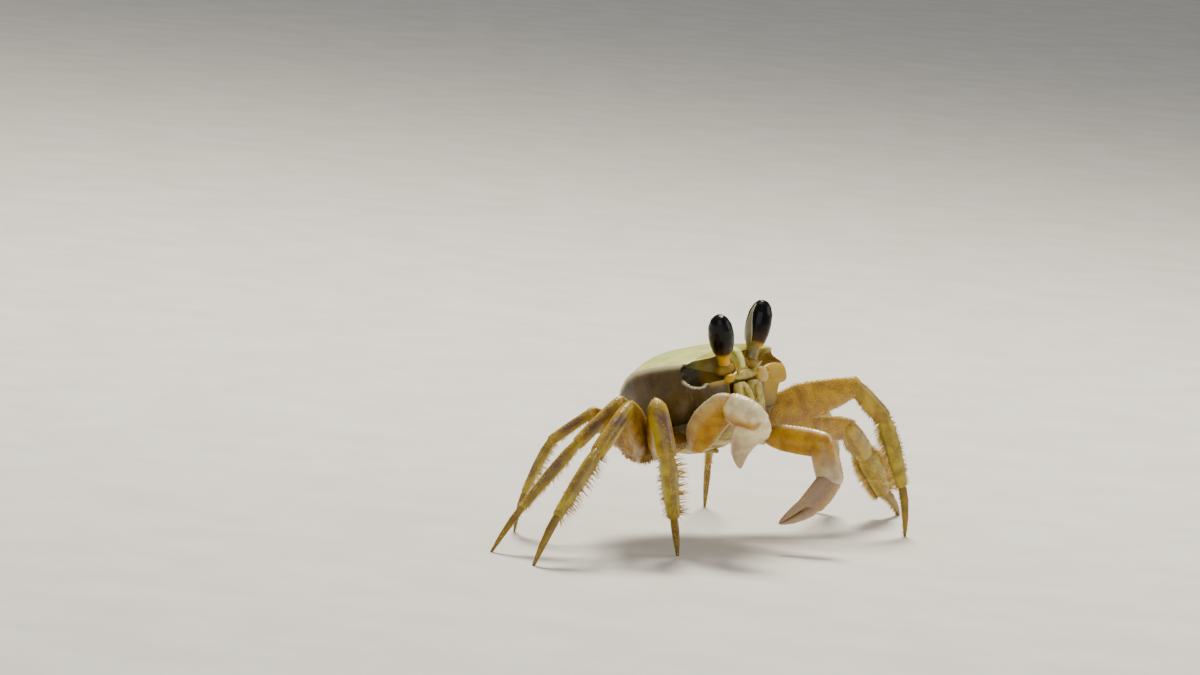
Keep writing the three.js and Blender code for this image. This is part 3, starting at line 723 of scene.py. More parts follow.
CrabColours.__annotations__ = {
    "back": colour("Back", "Top of the carapace", 216, 222, 128),
    "back_mottle": colour("Back mottle", "Darker clouds on the carapace", 188, 192, 98),
    # the side wall colours are darkened as painted shade
    "wall": colour("Side wall", "Carapace below its ridge", 90, 70, 32),
    "wall_shade": colour("Side wall shade", "Darker clouds on the side wall", 66, 50, 18),
    # the ridge colour also paints the highlight along the eyes' bare strip
    "ridge": colour("Ridge", "Pale beaded lines", 240, 234, 186),
    # the orbit colour is painted shade in the sockets and the mouth gap; it also darkens the underside's seams
    # and its upper band
    "orbit": colour("Orbit", "Inside of the eye sockets", 44, 38, 8),
    # orbit_rim is the yellow skin round the sockets, and is also laid on as painted light in the sockets and on
    # the left plates
    "orbit_rim": colour("Orbit rim", "Yellow skin round the eye sockets", 206, 160, 0),
    "leg": colour("Leg", "Leg shell", 182, 140, 10),
    "leg_deep": colour("Leg, deep", "Darker clouds on the legs", 144, 100, 0),
    "shin": colour("Shin", "Outer pieces of the legs", 170, 152, 26),
    "shin_deep": colour("Shin, deep", "Darker clouds on the outer pieces", 132, 110, 6),
    "leg_edge": colour("Leg edge", "Pale upper and lower edges", 226, 212, 120),
    "streak": colour("Streak", "Purple grey streak on the upper side", 98, 70, 54),
    "joint": colour("Joint", "Skin in the joints", 140, 98, 20),
    "arm": colour("Arm", "Inner pieces of the claw arms", 190, 146, 20),
    "arm_deep": colour("Arm, deep", "Darker clouds on the arms", 158, 108, 4),
    "claw": colour("Claw", "Hands and fingers", 238, 228, 174),
    "claw_blush": colour("Claw blush", "Pink clouds on the claws", 208, 182, 142),
    # claw_dusk is partly lilac grey and partly painted shade on the left claw and the lower right palm
    "claw_dusk": colour("Claw dusk", "Lilac grey of the left claw and the fingers", 146, 118, 92),
    "dactyl": colour("Toe", "Olive brown last piece of each leg", 92, 68, 16),
    "strip": colour("Eye strip", "Bare strip up the inner side of the eyes", 124, 120, 88),
    "mouth": colour("Mouth plates", "Plates over the mouth", 200, 184, 92),
    "mouth_shade": colour("Mouth plates, shade", "Darker clouds on the mouth plates", 158, 132, 50),
    "cornea": colour("Cornea", "The dark part of the eyes", 8, 5, 4),
    "cornea_foot": colour("Cornea foot", "Brown lower edge of the eyes", 60, 38, 6),
    "stalk": colour("Eyestalk", "Bare part of the eyes", 118, 100, 38),
    "stalk_shade": colour("Eyestalk shade", "Darker clouds on the eyestalks", 88, 76, 24),
    "bristle": colour("Bristle", "Leg hair", 228, 194, 96),
    "bristle_shade": colour("Bristle shade", "Darker leg hair", 182, 140, 48),
}


class CrabSizes(bpy.types.PropertyGroup):
    """Sizes of the fine detail."""
    granule: bpy.props.FloatProperty(name="Granule height", description="Height of the beads on the leg edges",
                                     default=0.00022, unit="LENGTH", min=0)
    bristle_length: bpy.props.FloatProperty(name="Bristle length", description="Longest leg hair",
                                            default=0.0028, unit="LENGTH", min=0)
    bristle_width: bpy.props.FloatProperty(name="Bristle width", description="Thickness of a hair at its root",
                                           default=0.0002, unit="LENGTH", min=0)
    seed: bpy.props.IntProperty(name="Seed", description="Starts the scatter of the hair", default=7)


SHELL_EDGE = -0.405 * CARAPACE_WIDTH  # height of the carapace's lower edge
LOBE = ((-0.5, 0, 0, 0.1), (-0.2, 1.1, 0.35, 0.5), (0.8, 1.15, 0.5, 1.1), (2.2, 1.05, 0.52, 1.4),
        (3.8, 0.92, 0.5, 1.1), (5.0, 0.85, 0.45, 0.5), (5.7, 0.7, 0.35, 0.1), (5.95, 0, 0, 0))
# the root of the eyestalk and the yellow block under it: middle, reach, thickness, height, yellow (partly
# painted light), painted shade
ORBIT_LUMPS = (((4.6, -12.9, -2.9), (2.6, 0.3, -0.5), 1.5, 1.7, 0.9, 0.5),
               ((5.2, -14.2, -5.2), (1.5, 0.3, -0.3), 1.0, 1.1, 1.0, 0.0))
# the plate below the left orbit and the block beside the mouth: start, end, height, thickness, paleness
LEFT_PLATES = (((8.8, -12.6, -5.6), (18.0, -11.0, -6.1), 2.5, 1.5, 0.0),
               ((4.2, -14.2, -5.6), (8.0, -13.8, -5.7), 1.9, 1.5, 0.25))


class CRAB_OT_carapace(bpy.types.Operator):
    """Model the carapace with its ridge, orbits and front lobe"""
    bl_idname = "crab.carapace"
    bl_label = "Carapace"

    def execute(self, context):
        piece, points, t, turn = model_body("carapace_shell", 80, 67, 2)
        points, masks = carapace_relief(points, t, turn)
        below = np.clip((SHELL_EDGE - points[:, 2]) / 2.5, 0, 1)
        points[:, :2] *= 1 - np.outer(below, (0.25, 0.12))
        points[:, 2] = np.where(below > 0, SHELL_EDGE - 0.25 * below, points[:, 2])
        reshape(piece, placed(points, BODY))
        mark(piece, **masks)
        face_outward(piece)
        lobe = Limb(reaching((0, -11.6, 1.7), (0, -14.6, -3.4), FORWARD), LOBE, square=2.3)
        pieces = [piece, lobe.model("front_lobe", 32, 48, top=1, line=0.12, warm=0.15, dark=0)]
        for side, _ in SIDES:
            for middle, reach, thick, high, warm, dark in ORBIT_LUMPS:
                along = body_way(*reach, side)
                lump = Limb(aim(from_body(middle, side), along, FORWARD),
                            swell(-along.length, along.length, thick, high), square=2.5)
                pieces.append(lump.model("orbit_lump", 28, 28, top=0, line=0, warm=warm, dark=dark))
        for start, end, high, thick, pale in LEFT_PLATES:
            outline = swell(0, math.dist(start, end), thick, high, 0.5)
            plate = Limb(reaching(start, end, UPWARD), outline, square=2.6)
            # the plate below the left orbit is painted yellow as light shining through it; both plates are
            # dimmed a little with painted shade
            plate = plate.model("orbit_plate", 48, 40, top=0, warm=1, dark=0.22)
            mark(plate, line=pale + 0.6 * smoothstep(0.93, 0.98, marked(plate, "crest")[0]))
            pieces.append(plate)
        settle(join(pieces, "carapace_shell"), shell_finish(context.scene.crab_colours), "shell", "carapace")
        return {"FINISHED"}


FLAP_WIDTHS = (3.4, 3.8, 3.3, 2.7, 1.9, 1.1, 0.5)


def flap_rings(share, turn):
    """The seams between the rings of the folded abdomen."""
    return -0.22 * np.clip(sum(bump(share, at, 0.012) for at in (0.17, 0.34, 0.5, 0.66, 0.82)), 0, 1)


class CRAB_OT_sternum(bpy.types.Operator):
    """Model the plates under the body and the folded abdomen"""
    bl_idname = "crab.sternum"
    bl_label = "Underside"

    def execute(self, context):
        material = mouth_finish(context.scene.crab_colours)
        piece, points, *_ = model_body("sternum_plates", 60, 50, 1)
        x, y, z = points.T
        x *= 0.93
        y[:] = (y - 1) * 0.93 + 1
        seams = np.clip(sum(bump(y - 0.1 * np.abs(x), at, 0.35) for at in (-6.5, -2.6, 1.6, 5.6, 9.2)), 0, 1)
        z += 0.45 * seams * (z < -12)
        np.minimum(z, -0.375 * CARAPACE_WIDTH, out=z)
        reshape(piece, placed(points, BODY))
        mark(piece, line=np.clip(0.5 * seams * (z < -12) + 0.4 * smoothstep(-19.5, -16, z), 0, 1))
        face_outward(piece)
        settle(piece, material, "belly", "sternum")
        rear, front = ((0, at * CARAPACE_WIDTH, -body_outline(at)[3] - 0.75) for at in (0.42, -0.03))
        outline = ((-0.15, 0, 0), *((2.7 * ring, width, 0.5) for ring, width in enumerate(FLAP_WIDTHS)),
                   (16.5, 0, 0))
        flap = Limb(reaching(rear, front, UPWARD), outline, square=2.4, relief=flap_rings)
        settle(flap.model("abdomen_flap", 48, 120, line=0), mouth_finish(context.scene.crab_colours), "belly",
               "abdomen")
        return {"FINISHED"}


MOUTH_PLATE = ((-0.1, 0, 0), (0.1, 1.6, 0.9), (1.2, 2.15, 1.2), (4.6, 2.2, 1.25), (5.0, 2.05, 1.1),
               (5.4, 2.15, 1.2), (8.4, 1.7, 1.0), (9.5, 0.9, 0.6), (9.7, 0, 0))
PALP = ((-0.3, 0, 0), (-0.1, 0.5, 0.5), (1.0, 0.8, 0.7, 0.25), (3.0, 0.62, 0.6, 0.3), (4.8, 0.3, 0.3),
        (5.0, 0, 0))
FACE_BAR = ((-0.2, 0, 0), (0, 0.5, 0.5), (1.5, 0.9, 1.0), (4.3, 1.3, 1.3), (7.1, 0.9, 1.0), (8.6, 0.5, 0.5),
            (8.8, 0, 0))
FEELER = ((-0.3, 0, 0), (-0.2, 0.35, 0.35), (0.5, 0.5, 0.5), (1.0, 0.38, 0.38), (1.2, 0.42, 0.42, 0.03),
          (1.9, 0.3, 0.3, 0.1), (2.1, 0.32, 0.32, 0.1), (3.0, 0.2, 0.2, 0.05), (3.4, 0.08, 0.08), (3.45, 0, 0))


def folds(share, turn):
    """Two ribs down a mouth plate, with a groove between them."""
    ribs = sum(height * bump(off(turn, at), 0, width)
               for at, height, width in ((0.9, 0.28, 0.22), (2.25, 0.28, 0.22), (1.6, -0.25, 0.12)))
    return ribs * smoothstep(0.02, 0.12, share)


class CRAB_OT_face(bpy.types.Operator):
    """Model the mouth plates, the plate above them and the feelers"""
    bl_idname = "crab.face"
    bl_label = "Face"

    def execute(self, context):
        material = mouth_finish(context.scene.crab_colours)
        feelers = []
        for side, label in SIDES:
            plate = Limb(reaching((2.35, -14.4, -6.5), (2.0, -14.0, -16.4), FORWARD, side), MOUTH_PLATE,
                         square=2.6, relief=folds)
            palp = Limb(reaching((2.0, -15.9, -8.0), (0.9, -15.9, -12.8), FORWARD, side), PALP)
            name = f"mouth_plate_{label}"
            pieces = [plate.model(name, 56, 90, line=0), palp.model("palp", 24, 30, line=0)]
            settle(join(pieces, name), material, "mouth", f"maxilliped_{label}")
            place = reaching((2.6, -14.8, -4.7), (4.0, -17.2, -2.6), UPRIGHT, side)
            feelers.append(Limb(place, FEELER, share=0.01))
        bar = Limb(reaching((-4.3, -14.3, -4.9), (4.3, -14.3, -4.9), UPWARD), FACE_BAR)
        pieces = [bar.model("face_plate", 32, 48, line=0)]
        pieces += [feeler.model("feeler", 16, 40, line=0) for feeler in feelers]
        settle(join(pieces, "face_plate"), material, "mouth", "face")
        return {"FINISHED"}


class CRAB_OT_eyes(bpy.types.Operator):
    """Model the two stalked eyes"""
    bl_idname = "crab.eyes"
    bl_label = "Eyes"

    def execute(self, context):
        colours = context.scene.crab_colours
        kinds = (("eyestalk", stalk_finish(colours), "stalk", "eyestalk"),
                 ("cornea", cornea_finish(colours), "eye", "eye_cornea"))
        profile = run_through([(z, r, r) for r, z in EYE_PROFILE], share=0.025)[:, :2]
        x, y, z = EYE_BASE
        for side, label in SIDES:
            lean, splay = EYES[label]
            place = (BODY @ Matrix.Translation(Vector((side * x, y, z)) * CARAPACE_WIDTH)
                     @ turned(lean, "X") @ turned(side * splay, "Y"))
            for name, material, slot, node in kinds:
                piece = ball(f"{name}_{label}", 96, 120)
                t, turn = directions(piece)
                index = np.arange(len(profile))
                height, radius = (np.interp(t * index[-1], index, column) for column in profile.T)
                away = np.abs(off(turn, math.radians(90 + side * 76)))
                reach = 0.6 - 0.45 * smoothstep(5.0, 12.6, height)  # the bare strip narrows upward
                under_tip = 1 - smoothstep(12.9, 13.4, height)
                # painted highlight: a pale line along the edge of the bare strip
                edge = bump(away, reach, 0.07) * smoothstep(3.5, 5.0, height) * under_tip
                tall = height * (0.97 if label == "right" else 1.0)
                if slot == "stalk":
                    radius = radius * 0.97
                else:
                    strip = (1 - smoothstep(reach - 0.04, reach + 0.04, away)) * under_tip
                    foot = 1 - smoothstep(2.7, 3.4, height - 1.1 * np.cos(away - 0.4))
                    radius = radius * (1.015 - 0.1 * np.maximum(strip, foot))
                    tall = np.maximum(tall, 1.5)
                shaped = np.stack((radius * np.cos(turn), radius * np.sin(turn), tall), axis=-1)
                reshape(piece, placed(shaped, place))
                mark(piece, along=height / EYE_LENGTH, line=0.5 * edge, dusk=label == "left")
                face_outward(piece)
                settle(piece, material, slot, f"{node}_{label}")
        return {"FINISHED"}


# shape of each piece of a leg, how far its ends bulge, and how square it is
LEG_SHAPES = {"merus": (MERUS, 0.6, 0.75, 2.05), "carpus": (CARPUS, 1.0, 0.45, 2.05),
              "propodus": (PROPODUS, 0.9, 0.4, 2.1), "dactyl": (DACTYL, 0.9, 0.6, 2.1)}
MERUS_SHAPES = {("left", 2): LIFTED_MERUS, ("left", 3): BROAD_MERUS}
LEG_RIDGES = {"carpus": (0.04, 5, 0.25, 0.9), "propodus": (0.07, 6, 0.12, 0.94), "dactyl": (0.07, 5, 0.12, 0.9)}
# how much of each there is on a piece: purple streak, olive dusk, shin colour, pale edge, grain
LEG_PAINT = {"hip": (0, 0.55, 0, 0, 0.3), "merus": (0.3, 0, 0, 1.0, 1.0), "carpus": (1.0, 0, 0.55, 0.15, 0.35),
             "propodus": (0.5, 0, 0.9, 0, 0.25), "dactyl": (0.2, 0.55, 0.5, 0, 0.1)}


def leg_limbs(side, label, pair, granule):
    """The shapes of a leg's five pieces, in order from the body."""
    frames, reach = leg_frames(side, label, pair)
    limbs = {"hip": Limb(frames["hip"], sized(HIP, reach, *HIP_SIZE), share=0.03)}
    for part, (shape, first, last, square) in LEG_SHAPES.items():
        length, high, thick = PAIRS[pair][part]
        if part != "dactyl":
            thick *= GIRTH.get((label, pair), 1)
        if part == "merus":
            shape = MERUS_SHAPES.get((label, pair), shape)
            pinch, relief = 0.22, merus_beads(granule, length)
        else:
            slim = SLENDER.get((label, pair), 1)
            high, thick = high * slim, thick * slim
            pinch, relief = 0.04, ridges(*LEG_RIDGES[part])
        outline = sized(shape, length, high, thick, first, last)
        limbs[part] = Limb(frames[part], outline, pinch, square, 0.012, relief)
    return limbs


class CRAB_OT_legs(bpy.types.Operator):
    """Model the eight walking legs"""
    bl_idname = "crab.legs"
    bl_label = "Walking legs"

    def execute(self, context):
        granule = context.scene.crab_sizes.granule / MM
        material = leg_finish(context.scene.crab_colours)
        for side, label in SIDES:
            for pair in PAIRS:
                limbs = leg_limbs(side, label, pair, granule)
                pieces = [self.paint(limb.model(part, 44, 90), part, side, pair)
                          for part, limb in limbs.items()]
                leg = join(pieces, f"leg{pair}_{label}")
                face_outward(leg)
                settle(leg, material, "leg", *(f"leg{pair}_{part}_{label}" for part in limbs))
        return {"FINISHED"}

    def paint(self, piece, part, side, pair):
        along, crest, face = marked(piece, "along", "crest", "face")
        streak, dusk, shin, edge, grainy = LEG_PAINT[part]
        if pair > 3 and part == "propodus":
            streak = 0.9
        if side > 0:
            streak *= 0.3
        streak *= smoothstep(0.55, 0.9, 0.9 * crest - 0.43 * side * face)
        streak *= 0.2 + 0.8 * smoothstep(0.12, 0.36, along) * (1 - smoothstep(0.6, 0.95, along))
        if part == "merus":
            streak, tip = streak * smoothstep(0.8, 0.98, along), 0.2 * bump(along, 1.0, 0.04)
        else:
            streak, tip = streak * (1 - 0.5 * smoothstep(0.7, 1.0, along)), 0
        mark(piece, streak=streak, joint=0.8 * bump(along, 0.0, 0.05) * (part != "hip"), dusk=dusk, shin=shin,
             edge=0.8 * edge * smoothstep(0.92, 1.0, crest) + tip, grainy=grainy)
        return piece


ARM_MERUS = ((0, 0.68, 0.6), (0.12, 0.85, 0.82), (0.3, 0.97, 1), (0.6, 1, 1.05), (0.85, 1.04, 1.04),
             (1.0, 1.06, 0.97))
ARM_CARPUS = ((0, 0.6, 0.66), (0.12, 0.8, 0.84), (0.25, 0.94, 0.95), (0.45, 1, 1), (0.75, 0.98, 0.98),
              (0.95, 0.88, 0.9), (1.0, 0.85, 0.86))
ARC_CARPUS = ((0, 0.86, 0.9), (0.12, 0.95, 0.97), (0.3, 1, 1.02), (0.6, 1, 1.04), (0.85, 1, 1.02),
              (1.0, 0.96, 0.98))
PALM = ((0, 0.76, 0.72, 0), (0.1, 0.92, 0.88, 0), (0.24, 1, 1, 0), (0.38, 1, 1, 0), (0.48, 0.92, 0.84, -0.04),
        (0.53, 0.85, 0.62, -0.12), (0.56, 0.77, 0.46, -0.19), (0.66, 0.6, 0.38, -0.2),
        (0.82, 0.44, 0.28, -0.14), (0.94, 0.26, 0.16, -0.07), (0.99, 0.12, 0.07, -0.03), (1.0, 0, 0, -0.02))
ARC_PALM = ((0, 0.96, 0.98, 0), (0.1, 1.02, 1.04, 0), (0.22, 1.03, 1.05, 0), *PALM[3:])
SLIM_FINGER = ((0.4, 0, 0, 0.12), (0.41, 0.4, 0.3, 0.12), (0.48, 0.6, 0.4, 0.08), (0.56, 0.58, 0.36, 0.03),
               (0.7, 0.46, 0.28, -0.02), (0.84, 0.34, 0.2, -0.02), (0.95, 0.2, 0.12, 0.0),
               (0.99, 0.12, 0.07, 0.0), (1.0, 0, 0, 0.0))
SLIM_PALM = ((0, 0.76, 0.72, 0), (0.1, 0.92, 0.88, 0.02), (0.22, 1, 1, 0.03), (0.34, 1, 0.98, 0.02),
             (0.44, 0.9, 0.8, -0.05), (0.5, 0.8, 0.56, -0.15), (0.56, 0.7, 0.42, -0.2),
             (0.7, 0.52, 0.32, -0.2), (0.84, 0.36, 0.22, -0.13), (0.95, 0.22, 0.13, -0.05),
             (0.99, 0.12, 0.07, -0.02), (1.0, 0, 0, -0.01))
FINGER = ((0.42, 0, 0, 0.2), (0.43, 0.4, 0.32, 0.2), (0.48, 0.64, 0.46, 0.21), (0.54, 0.68, 0.46, 0.21),
          (0.66, 0.6, 0.38, 0.18), (0.82, 0.44, 0.27, 0.13), (0.94, 0.24, 0.15, 0.06),
          (0.99, 0.12, 0.07, 0.02),
          (1.0, 0, 0, 0.0))


LEFT_FULLER = (1.1, 1.08)  # height and thickness of the left claw's carpus and palm against their solids
ARM_SHAPES = {
    "right": dict(coxa=HIP, merus=ARM_MERUS, carpus=ARM_CARPUS, palm=SLIM_PALM, finger=SLIM_FINGER),
    "left": dict(coxa=HIP, merus=ARM_MERUS, carpus=ARC_CARPUS, palm=ARC_PALM, finger=FINGER),
}
# how far the two ends of each piece bulge
ARM_ENDS = {"coxa": (None, None), "merus": (0.6, 0.85), "carpus": (0.45, 0.7), "palm": (0.8, None)}


class CRAB_OT_arms(bpy.types.Operator):
    """Model the two claw arms with their hands and fingers"""
    bl_idname = "crab.arms"
    bl_label = "Claw arms"

    def execute(self, context):
        material = arm_finish(context.scene.crab_colours)
        for side, label in SIDES:
            arm, shapes = ARMS[label], ARM_SHAPES[label]
            joints = [from_body(arm[part][0], side) for part in ARM_ENDS] + [from_body(arm["tip"], side)]
            for i, (part, ends) in enumerate(ARM_ENDS.items()):
                along = joints[i + 1] - joints[i]
                length = along.length
                high, thick = arm[part][1]
                if label == "left" and part in ("carpus", "palm"):
                    high, thick = high * LEFT_FULLER[0], thick * LEFT_FULLER[1]
                place = aim(joints[i], along, body_way(*arm[part][2], side))
                bend = arm["bend"].get(part, 0.0)
                limb = Limb(place, sized(shapes[part], length, high, thick, *ends, bend),
                            pinch=0.3 if part == "merus" else 0.12, square=2.15, share=0.015,
                            relief=granules(0.16, 0.8, 0.2, math.pi / 2, length))
                self.complete(limb.model(f"claw_{part}_{label}_shell", 64, 96), part, label, material)
            finger = Limb(place, sized(shapes["finger"], length, high, thick, bend=bend), square=2.1)
            self.complete(finger.model(f"claw_finger_{label}_shell", 48, 72), "finger", label, material)
        return {"FINISHED"}

    def complete(self, piece, part, label, material):
        along, crest = marked(piece, "along", "crest")
        left = label == "left"
        # dusk lays on claw_dusk: the lilac grey of the fingers, and painted shade darkening the left claw and
        # the lower right palm
        golden = dusk = pale = 0
        if part == "coxa":
            golden = 1
        elif part == "merus":
            golden = 1 - 0.5 * smoothstep(0.7 if left else 0.2, 1.0, crest)
            pale = 0.25 if left else 0.5
        elif part == "carpus":
            golden = (0.95 * (1 - smoothstep(0.1, 0.9, along)) if left else
                      0.9 * (1 - smoothstep(-0.5, 0.1, crest)) + 0.5 * (1 - smoothstep(0.0, 0.3, along)))
            dusk = 0.55 * left
        elif part == "palm":
            golden = (0.45 * smoothstep(0.2, 0.9, crest) if left else
                      0.8 * (1 - smoothstep(0.05, 0.3, along)) * (1 - smoothstep(-0.3, 0.3, crest)))
            dusk = 0.95 if left else 0.5 * smoothstep(0.2, 0.55, along)
        else:
            dusk = 0.9 if left else 0.4 * smoothstep(0.2, 0.55, along)
        mark(piece, golden=np.clip(golden, 0, 1), line=pale * bump(crest, 1.0, 0.04), dusk=dusk)
        settle(piece, material, "arm" if part in ("coxa", "merus") else "claw", f"claw_{part}_{label}")


# ---- bristles ----

# rows on every leg: piece, turn of the row, spread, hairs per millimetre, share of the longest, lean
ROWS = (("merus", 90, 10, 5, 0.16, 0.7), ("merus", -90, 14, 7, 0.28, 0.6),
        ("carpus", 90, 12, 6, 0.22, 0.8), ("carpus", -90, 16, 7, 0.4, 0.7),
        ("propodus", 90, 9, 3, 0.22, 0.7), ("propodus", -90, 9, 10, 0.85, 0.25),
        ("dactyl", 90, 12, 1, 0.15, 0.8), ("dactyl", -90, 12, 5, 0.26, 0.6),
        ("propodus", 0, 9, 2, 0.2, 0.7), ("propodus", 180, 9, 2, 0.2, 0.7), ("hip", -90, 40, 24, 0.35, 0.4))
COMBS = {("right", 2): (("propodus", -8, 4, 5.5, 1.2, 0.08), ("propodus", 186, 5, 4, 0.5, 0.4)),
         ("right", 3): (("propodus", -25, 5, 4.5, 0.95, 0.2),),
         ("left", 2): (("propodus", 90, 8, 8, 0.5, 0.4), ("propodus", -90, 8, 6, 0.5, 0.4)),
         ("left", 3): (("propodus", 90, 12, 16, 0.8, 0.3), ("propodus", -90, 12, 10, 0.7, 0.35),
                       ("propodus", 180, 16, 6, 0.3, 0.8))}
HAIR_CORNERS = 3
HAIR_RINGS = ((-0.1, 1.0), (0.45, 0.75), (1.0, 0.12))  # place along a hair, and share of its width
PATCH = 0.0028  # side of a hair's place on the unwrap


def bristle_mesh(name, roots, ways, lengths, widths, spots):
    """Curved tapering hairs, each three-sided and closed, with the unwrap place of its root."""
    ways = ways / np.linalg.norm(ways, axis=1, keepdims=True)
    side = np.cross(ways, np.array((0.31, 0.17, 0.93)))
    side /= np.maximum(np.linalg.norm(side, axis=1, keepdims=True), TINY)
    other = np.cross(ways, side)
    lengths, widths = lengths[:, None], widths[:, None]
    droop = np.array((0, 0, -0.12))
    rings = []
    for share, girth in HAIR_RINGS:
        centre = roots + ways * lengths * share + droop * lengths * max(share, 0) ** 2
        for angle in 2 * math.pi * np.arange(HAIR_CORNERS) / HAIR_CORNERS:
            rings.append(centre + (side * math.cos(angle) + other * math.sin(angle)) * widths * girth / 2)
    points = np.stack(rings, axis=1).reshape(-1, 3)
    points[:, 2] = np.maximum(points[:, 2], 0.02)
    pattern = [(2, 1, 0)]
    for ring in (0, 3):
        for k in range(3):
            a, b = ring + k, ring + (k + 1) % 3
            pattern += [(a, b, b + 3), (a, b + 3, a + 3)]
    pattern.append((6, 7, 8))
    faces = (np.array(pattern)[None] + len(rings) * np.arange(len(roots))[:, None, None]).reshape(-1, 3)
    mesh = bpy.data.meshes.new(name)
    mesh.vertices.add(len(points))
    mesh.vertices.foreach_set("co", (points * MM).ravel())
    mesh.loops.add(faces.size)
    mesh.loops.foreach_set("vertex_index", faces.ravel())
    mesh.polygons.add(len(faces))
    mesh.polygons.foreach_set("loop_start", np.arange(len(faces)) * 3)
    mesh.polygons.foreach_set("loop_total", np.full(len(faces), 3))
    mesh.update(calc_edges=True)
    mesh.validate()
    corners = np.array([(k % 3, k // 3) for k in range(len(rings))]) / 3 * PATCH
    uv = (spots[:, None, :] + corners[None]).reshape(-1, 2)
    layer = mesh.uv_layers.new(name="OFBake")
    layer.data.foreach_set("uv", uv[faces.ravel()].ravel())
    piece = bpy.data.objects.new(name, mesh)
    bpy.context.collection.objects.link(piece)
    return piece


class CRAB_OT_bristles(bpy.types.Operator):
    """Set rows of bristles along the edges of the legs"""
    bl_idname = "crab.bristles"
    bl_label = "Bristles"

    def execute(self, context):
        sizes = context.scene.crab_sizes
        chance = np.random.default_rng(sizes.seed)
        material = bristle_finish(context.scene.crab_colours)
        for side, label in SIDES:
            hairs = []
            for place, pair in enumerate(PAIRS):
                limbs = leg_limbs(side, label, pair, sizes.granule / MM)
                for part, centre, spread, density, share, lean in ROWS + COMBS.get((label, pair), ()):
                    limb, band = limbs[part], list(limbs).index(part)
                    count = int(density * (limb.end - limb.start))
                    t = chance.uniform(0.1, 0.93, count)
                    if part == "merus":
                        t = chance.uniform(0.15, 0.95, count)
                    turn = np.radians(centre + chance.normal(0, spread, count))
                    forward = np.array(limb.frame.to_3x3() @ Vector((1, 0, 0)))
                    way = limb.normals(t, turn) + lean * forward + chance.normal(0, 0.13, (count, 3))
                    length = sizes.bristle_length / MM * share * chance.uniform(0.55, 1.0, count)
                    if part == "propodus":
                        length *= 0.55 + 0.45 * np.sin(t * math.pi) ** 0.5
                    width = sizes.bristle_width / MM * (0.7 + 0.3 * share) * chance.uniform(0.8, 1.1, count)
                    u = 0.02 + 0.96 * (band + 0.05 + 0.9 * t) / len(limbs)
                    v = 0.02 + 0.96 * (place + 0.05 + 0.9 * (turn / (2 * math.pi) % 1)) / len(PAIRS)
                    hairs.append((limb.world(t, turn), way, length, width, np.stack((u, v), axis=1)))
            hair = bristle_mesh(f"leg_bristles_{label}", *(np.concatenate(column) for column in zip(*hairs)))
            settle(hair, material, "leg")
        return {"FINISHED"}


# ---- stage ----

CAMERA_AT = Vector((-1084.28, -994.87, 226.94)) + ORIGIN_SHIFT
CAMERA_RIGHT = Vector((0.69276, -0.71597, 0.08644))
CAMERA_UP = Vector((0.02833, 0.14678, 0.98876))
FOCAL_PIXELS = 6250.0
FRAME_PIXELS = 1200.0


# name, place, size, power and colour of the lights
LIGHTS = (("key", (0.28, 0.3, 0.95), 0.35, 19.0, (1.0, 0.95, 0.84)),
          ("fill", (-0.8, -0.7, 0.5), 0.9, 4.0, (0.95, 0.97, 1.0)),
          ("side", (0.7, -0.6, 0.4), 0.6, 2.5, (1.0, 0.98, 0.95)))
LIT_SPOT = Vector((0, 0, 0.03))
SENSOR = 36


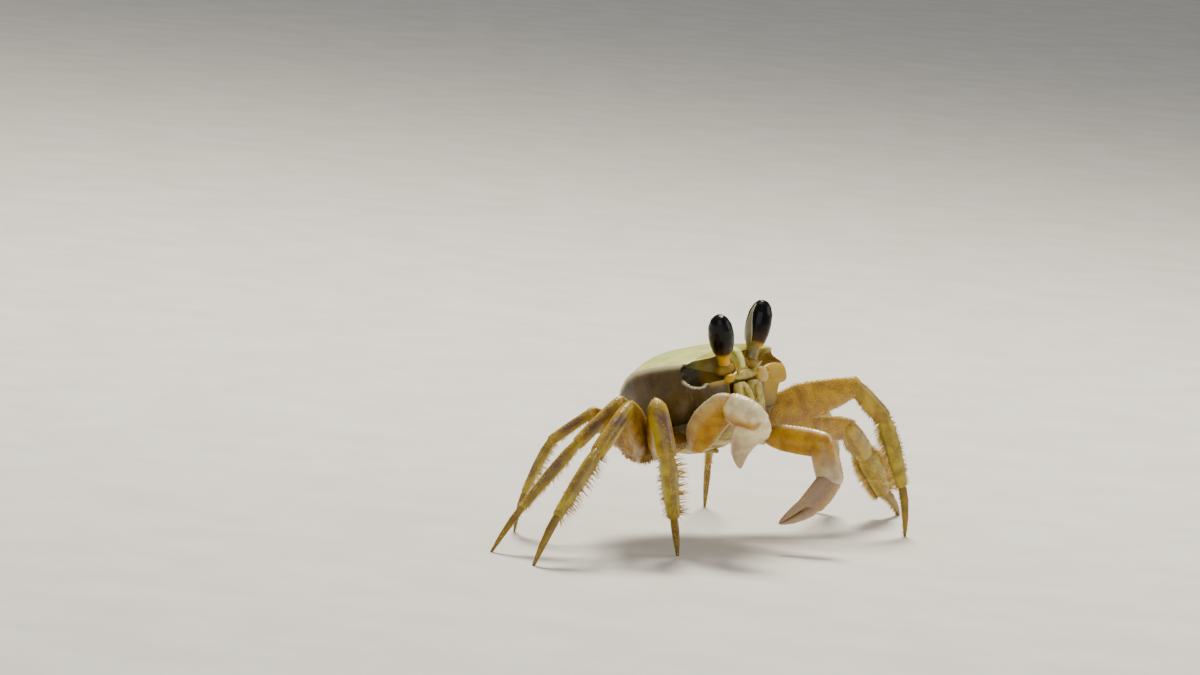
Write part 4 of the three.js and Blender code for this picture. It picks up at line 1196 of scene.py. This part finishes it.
class CRAB_OT_stage(bpy.types.Operator):
    """Set up the floor, the soft lights and the camera"""
    bl_idname = "crab.stage"
    bl_label = "Stage"

    def execute(self, context):
        pick()
        bpy.ops.mesh.primitive_plane_add(size=6, location=(0, 0, 0))
        floor = context.object
        floor.name = "floor"
        make = Nodes("pale_floor")
        color = make.mottled(make.noise(40, 3), shade(226, 222, 212), shade(218, 213, 202), 0.3, 0.7)
        floor.data.materials.append(make.finish(color, 0.8))
        for name, at, size, power, warmth in LIGHTS:
            bpy.ops.object.light_add(type="AREA", location=at)
            light = context.object
            light.name = name
            light.data.size = size
            light.data.energy = power
            light.data.color = warmth
            light.rotation_euler = (LIT_SPOT - Vector(at)).to_track_quat("-Z", "Y").to_euler()
        world = context.scene.world or bpy.data.worlds.new("world")
        context.scene.world = world
        world.use_nodes = True
        sky = world.node_tree.nodes["Background"].inputs
        sky["Color"].default_value = shade(232, 234, 238)
        sky["Strength"].default_value = 0.4
        bpy.ops.object.camera_add()
        camera = context.object
        camera.name = "camera"
        camera.data.sensor_width = SENSOR
        camera.data.lens = FOCAL_PIXELS / FRAME_PIXELS * SENSOR
        camera.data.clip_start = 0.01
        back = CAMERA_RIGHT.cross(CAMERA_UP)
        turn = Matrix((CAMERA_RIGHT, CAMERA_UP, back)).transposed().to_4x4()
        camera.matrix_world = Matrix.Translation(CAMERA_AT * MM) @ turn
        context.scene.camera = camera
        return {"FINISHED"}


class CRAB_PT_panel(bpy.types.Panel):
    """Buttons for every group of pieces"""
    bl_idname = "CRAB_PT_panel"
    bl_label = "Ghost Crab"
    bl_space_type = "VIEW_3D"
    bl_region_type = "UI"
    bl_category = "Crab"

    def draw(self, context):
        for operator in OPERATORS:
            self.layout.operator(operator.bl_idname)
        for group in (context.scene.crab_sizes, context.scene.crab_colours):
            for key in group.__annotations__:
                self.layout.prop(group, key)


OPERATORS = (CRAB_OT_carapace, CRAB_OT_sternum, CRAB_OT_face, CRAB_OT_eyes, CRAB_OT_legs, CRAB_OT_arms,
             CRAB_OT_bristles, CRAB_OT_stage)
CLASSES = (CrabColours, CrabSizes, *OPERATORS, CRAB_PT_panel)


def register():
    for cls in CLASSES:
        bpy.utils.register_class(cls)
    bpy.types.Scene.crab_colours = bpy.props.PointerProperty(type=CrabColours)
    bpy.types.Scene.crab_sizes = bpy.props.PointerProperty(type=CrabSizes)


def unregister():
    del bpy.types.Scene.crab_sizes
    del bpy.types.Scene.crab_colours
    for cls in reversed(CLASSES):
        bpy.utils.unregister_class(cls)


def main():
    register()
    bpy.ops.crab.carapace()
    bpy.ops.crab.sternum()
    bpy.ops.crab.face()
    bpy.ops.crab.eyes()
    bpy.ops.crab.legs()
    bpy.ops.crab.arms()
    bpy.ops.crab.bristles()
    bpy.ops.crab.stage()


if __name__ == "__main__":
    main()
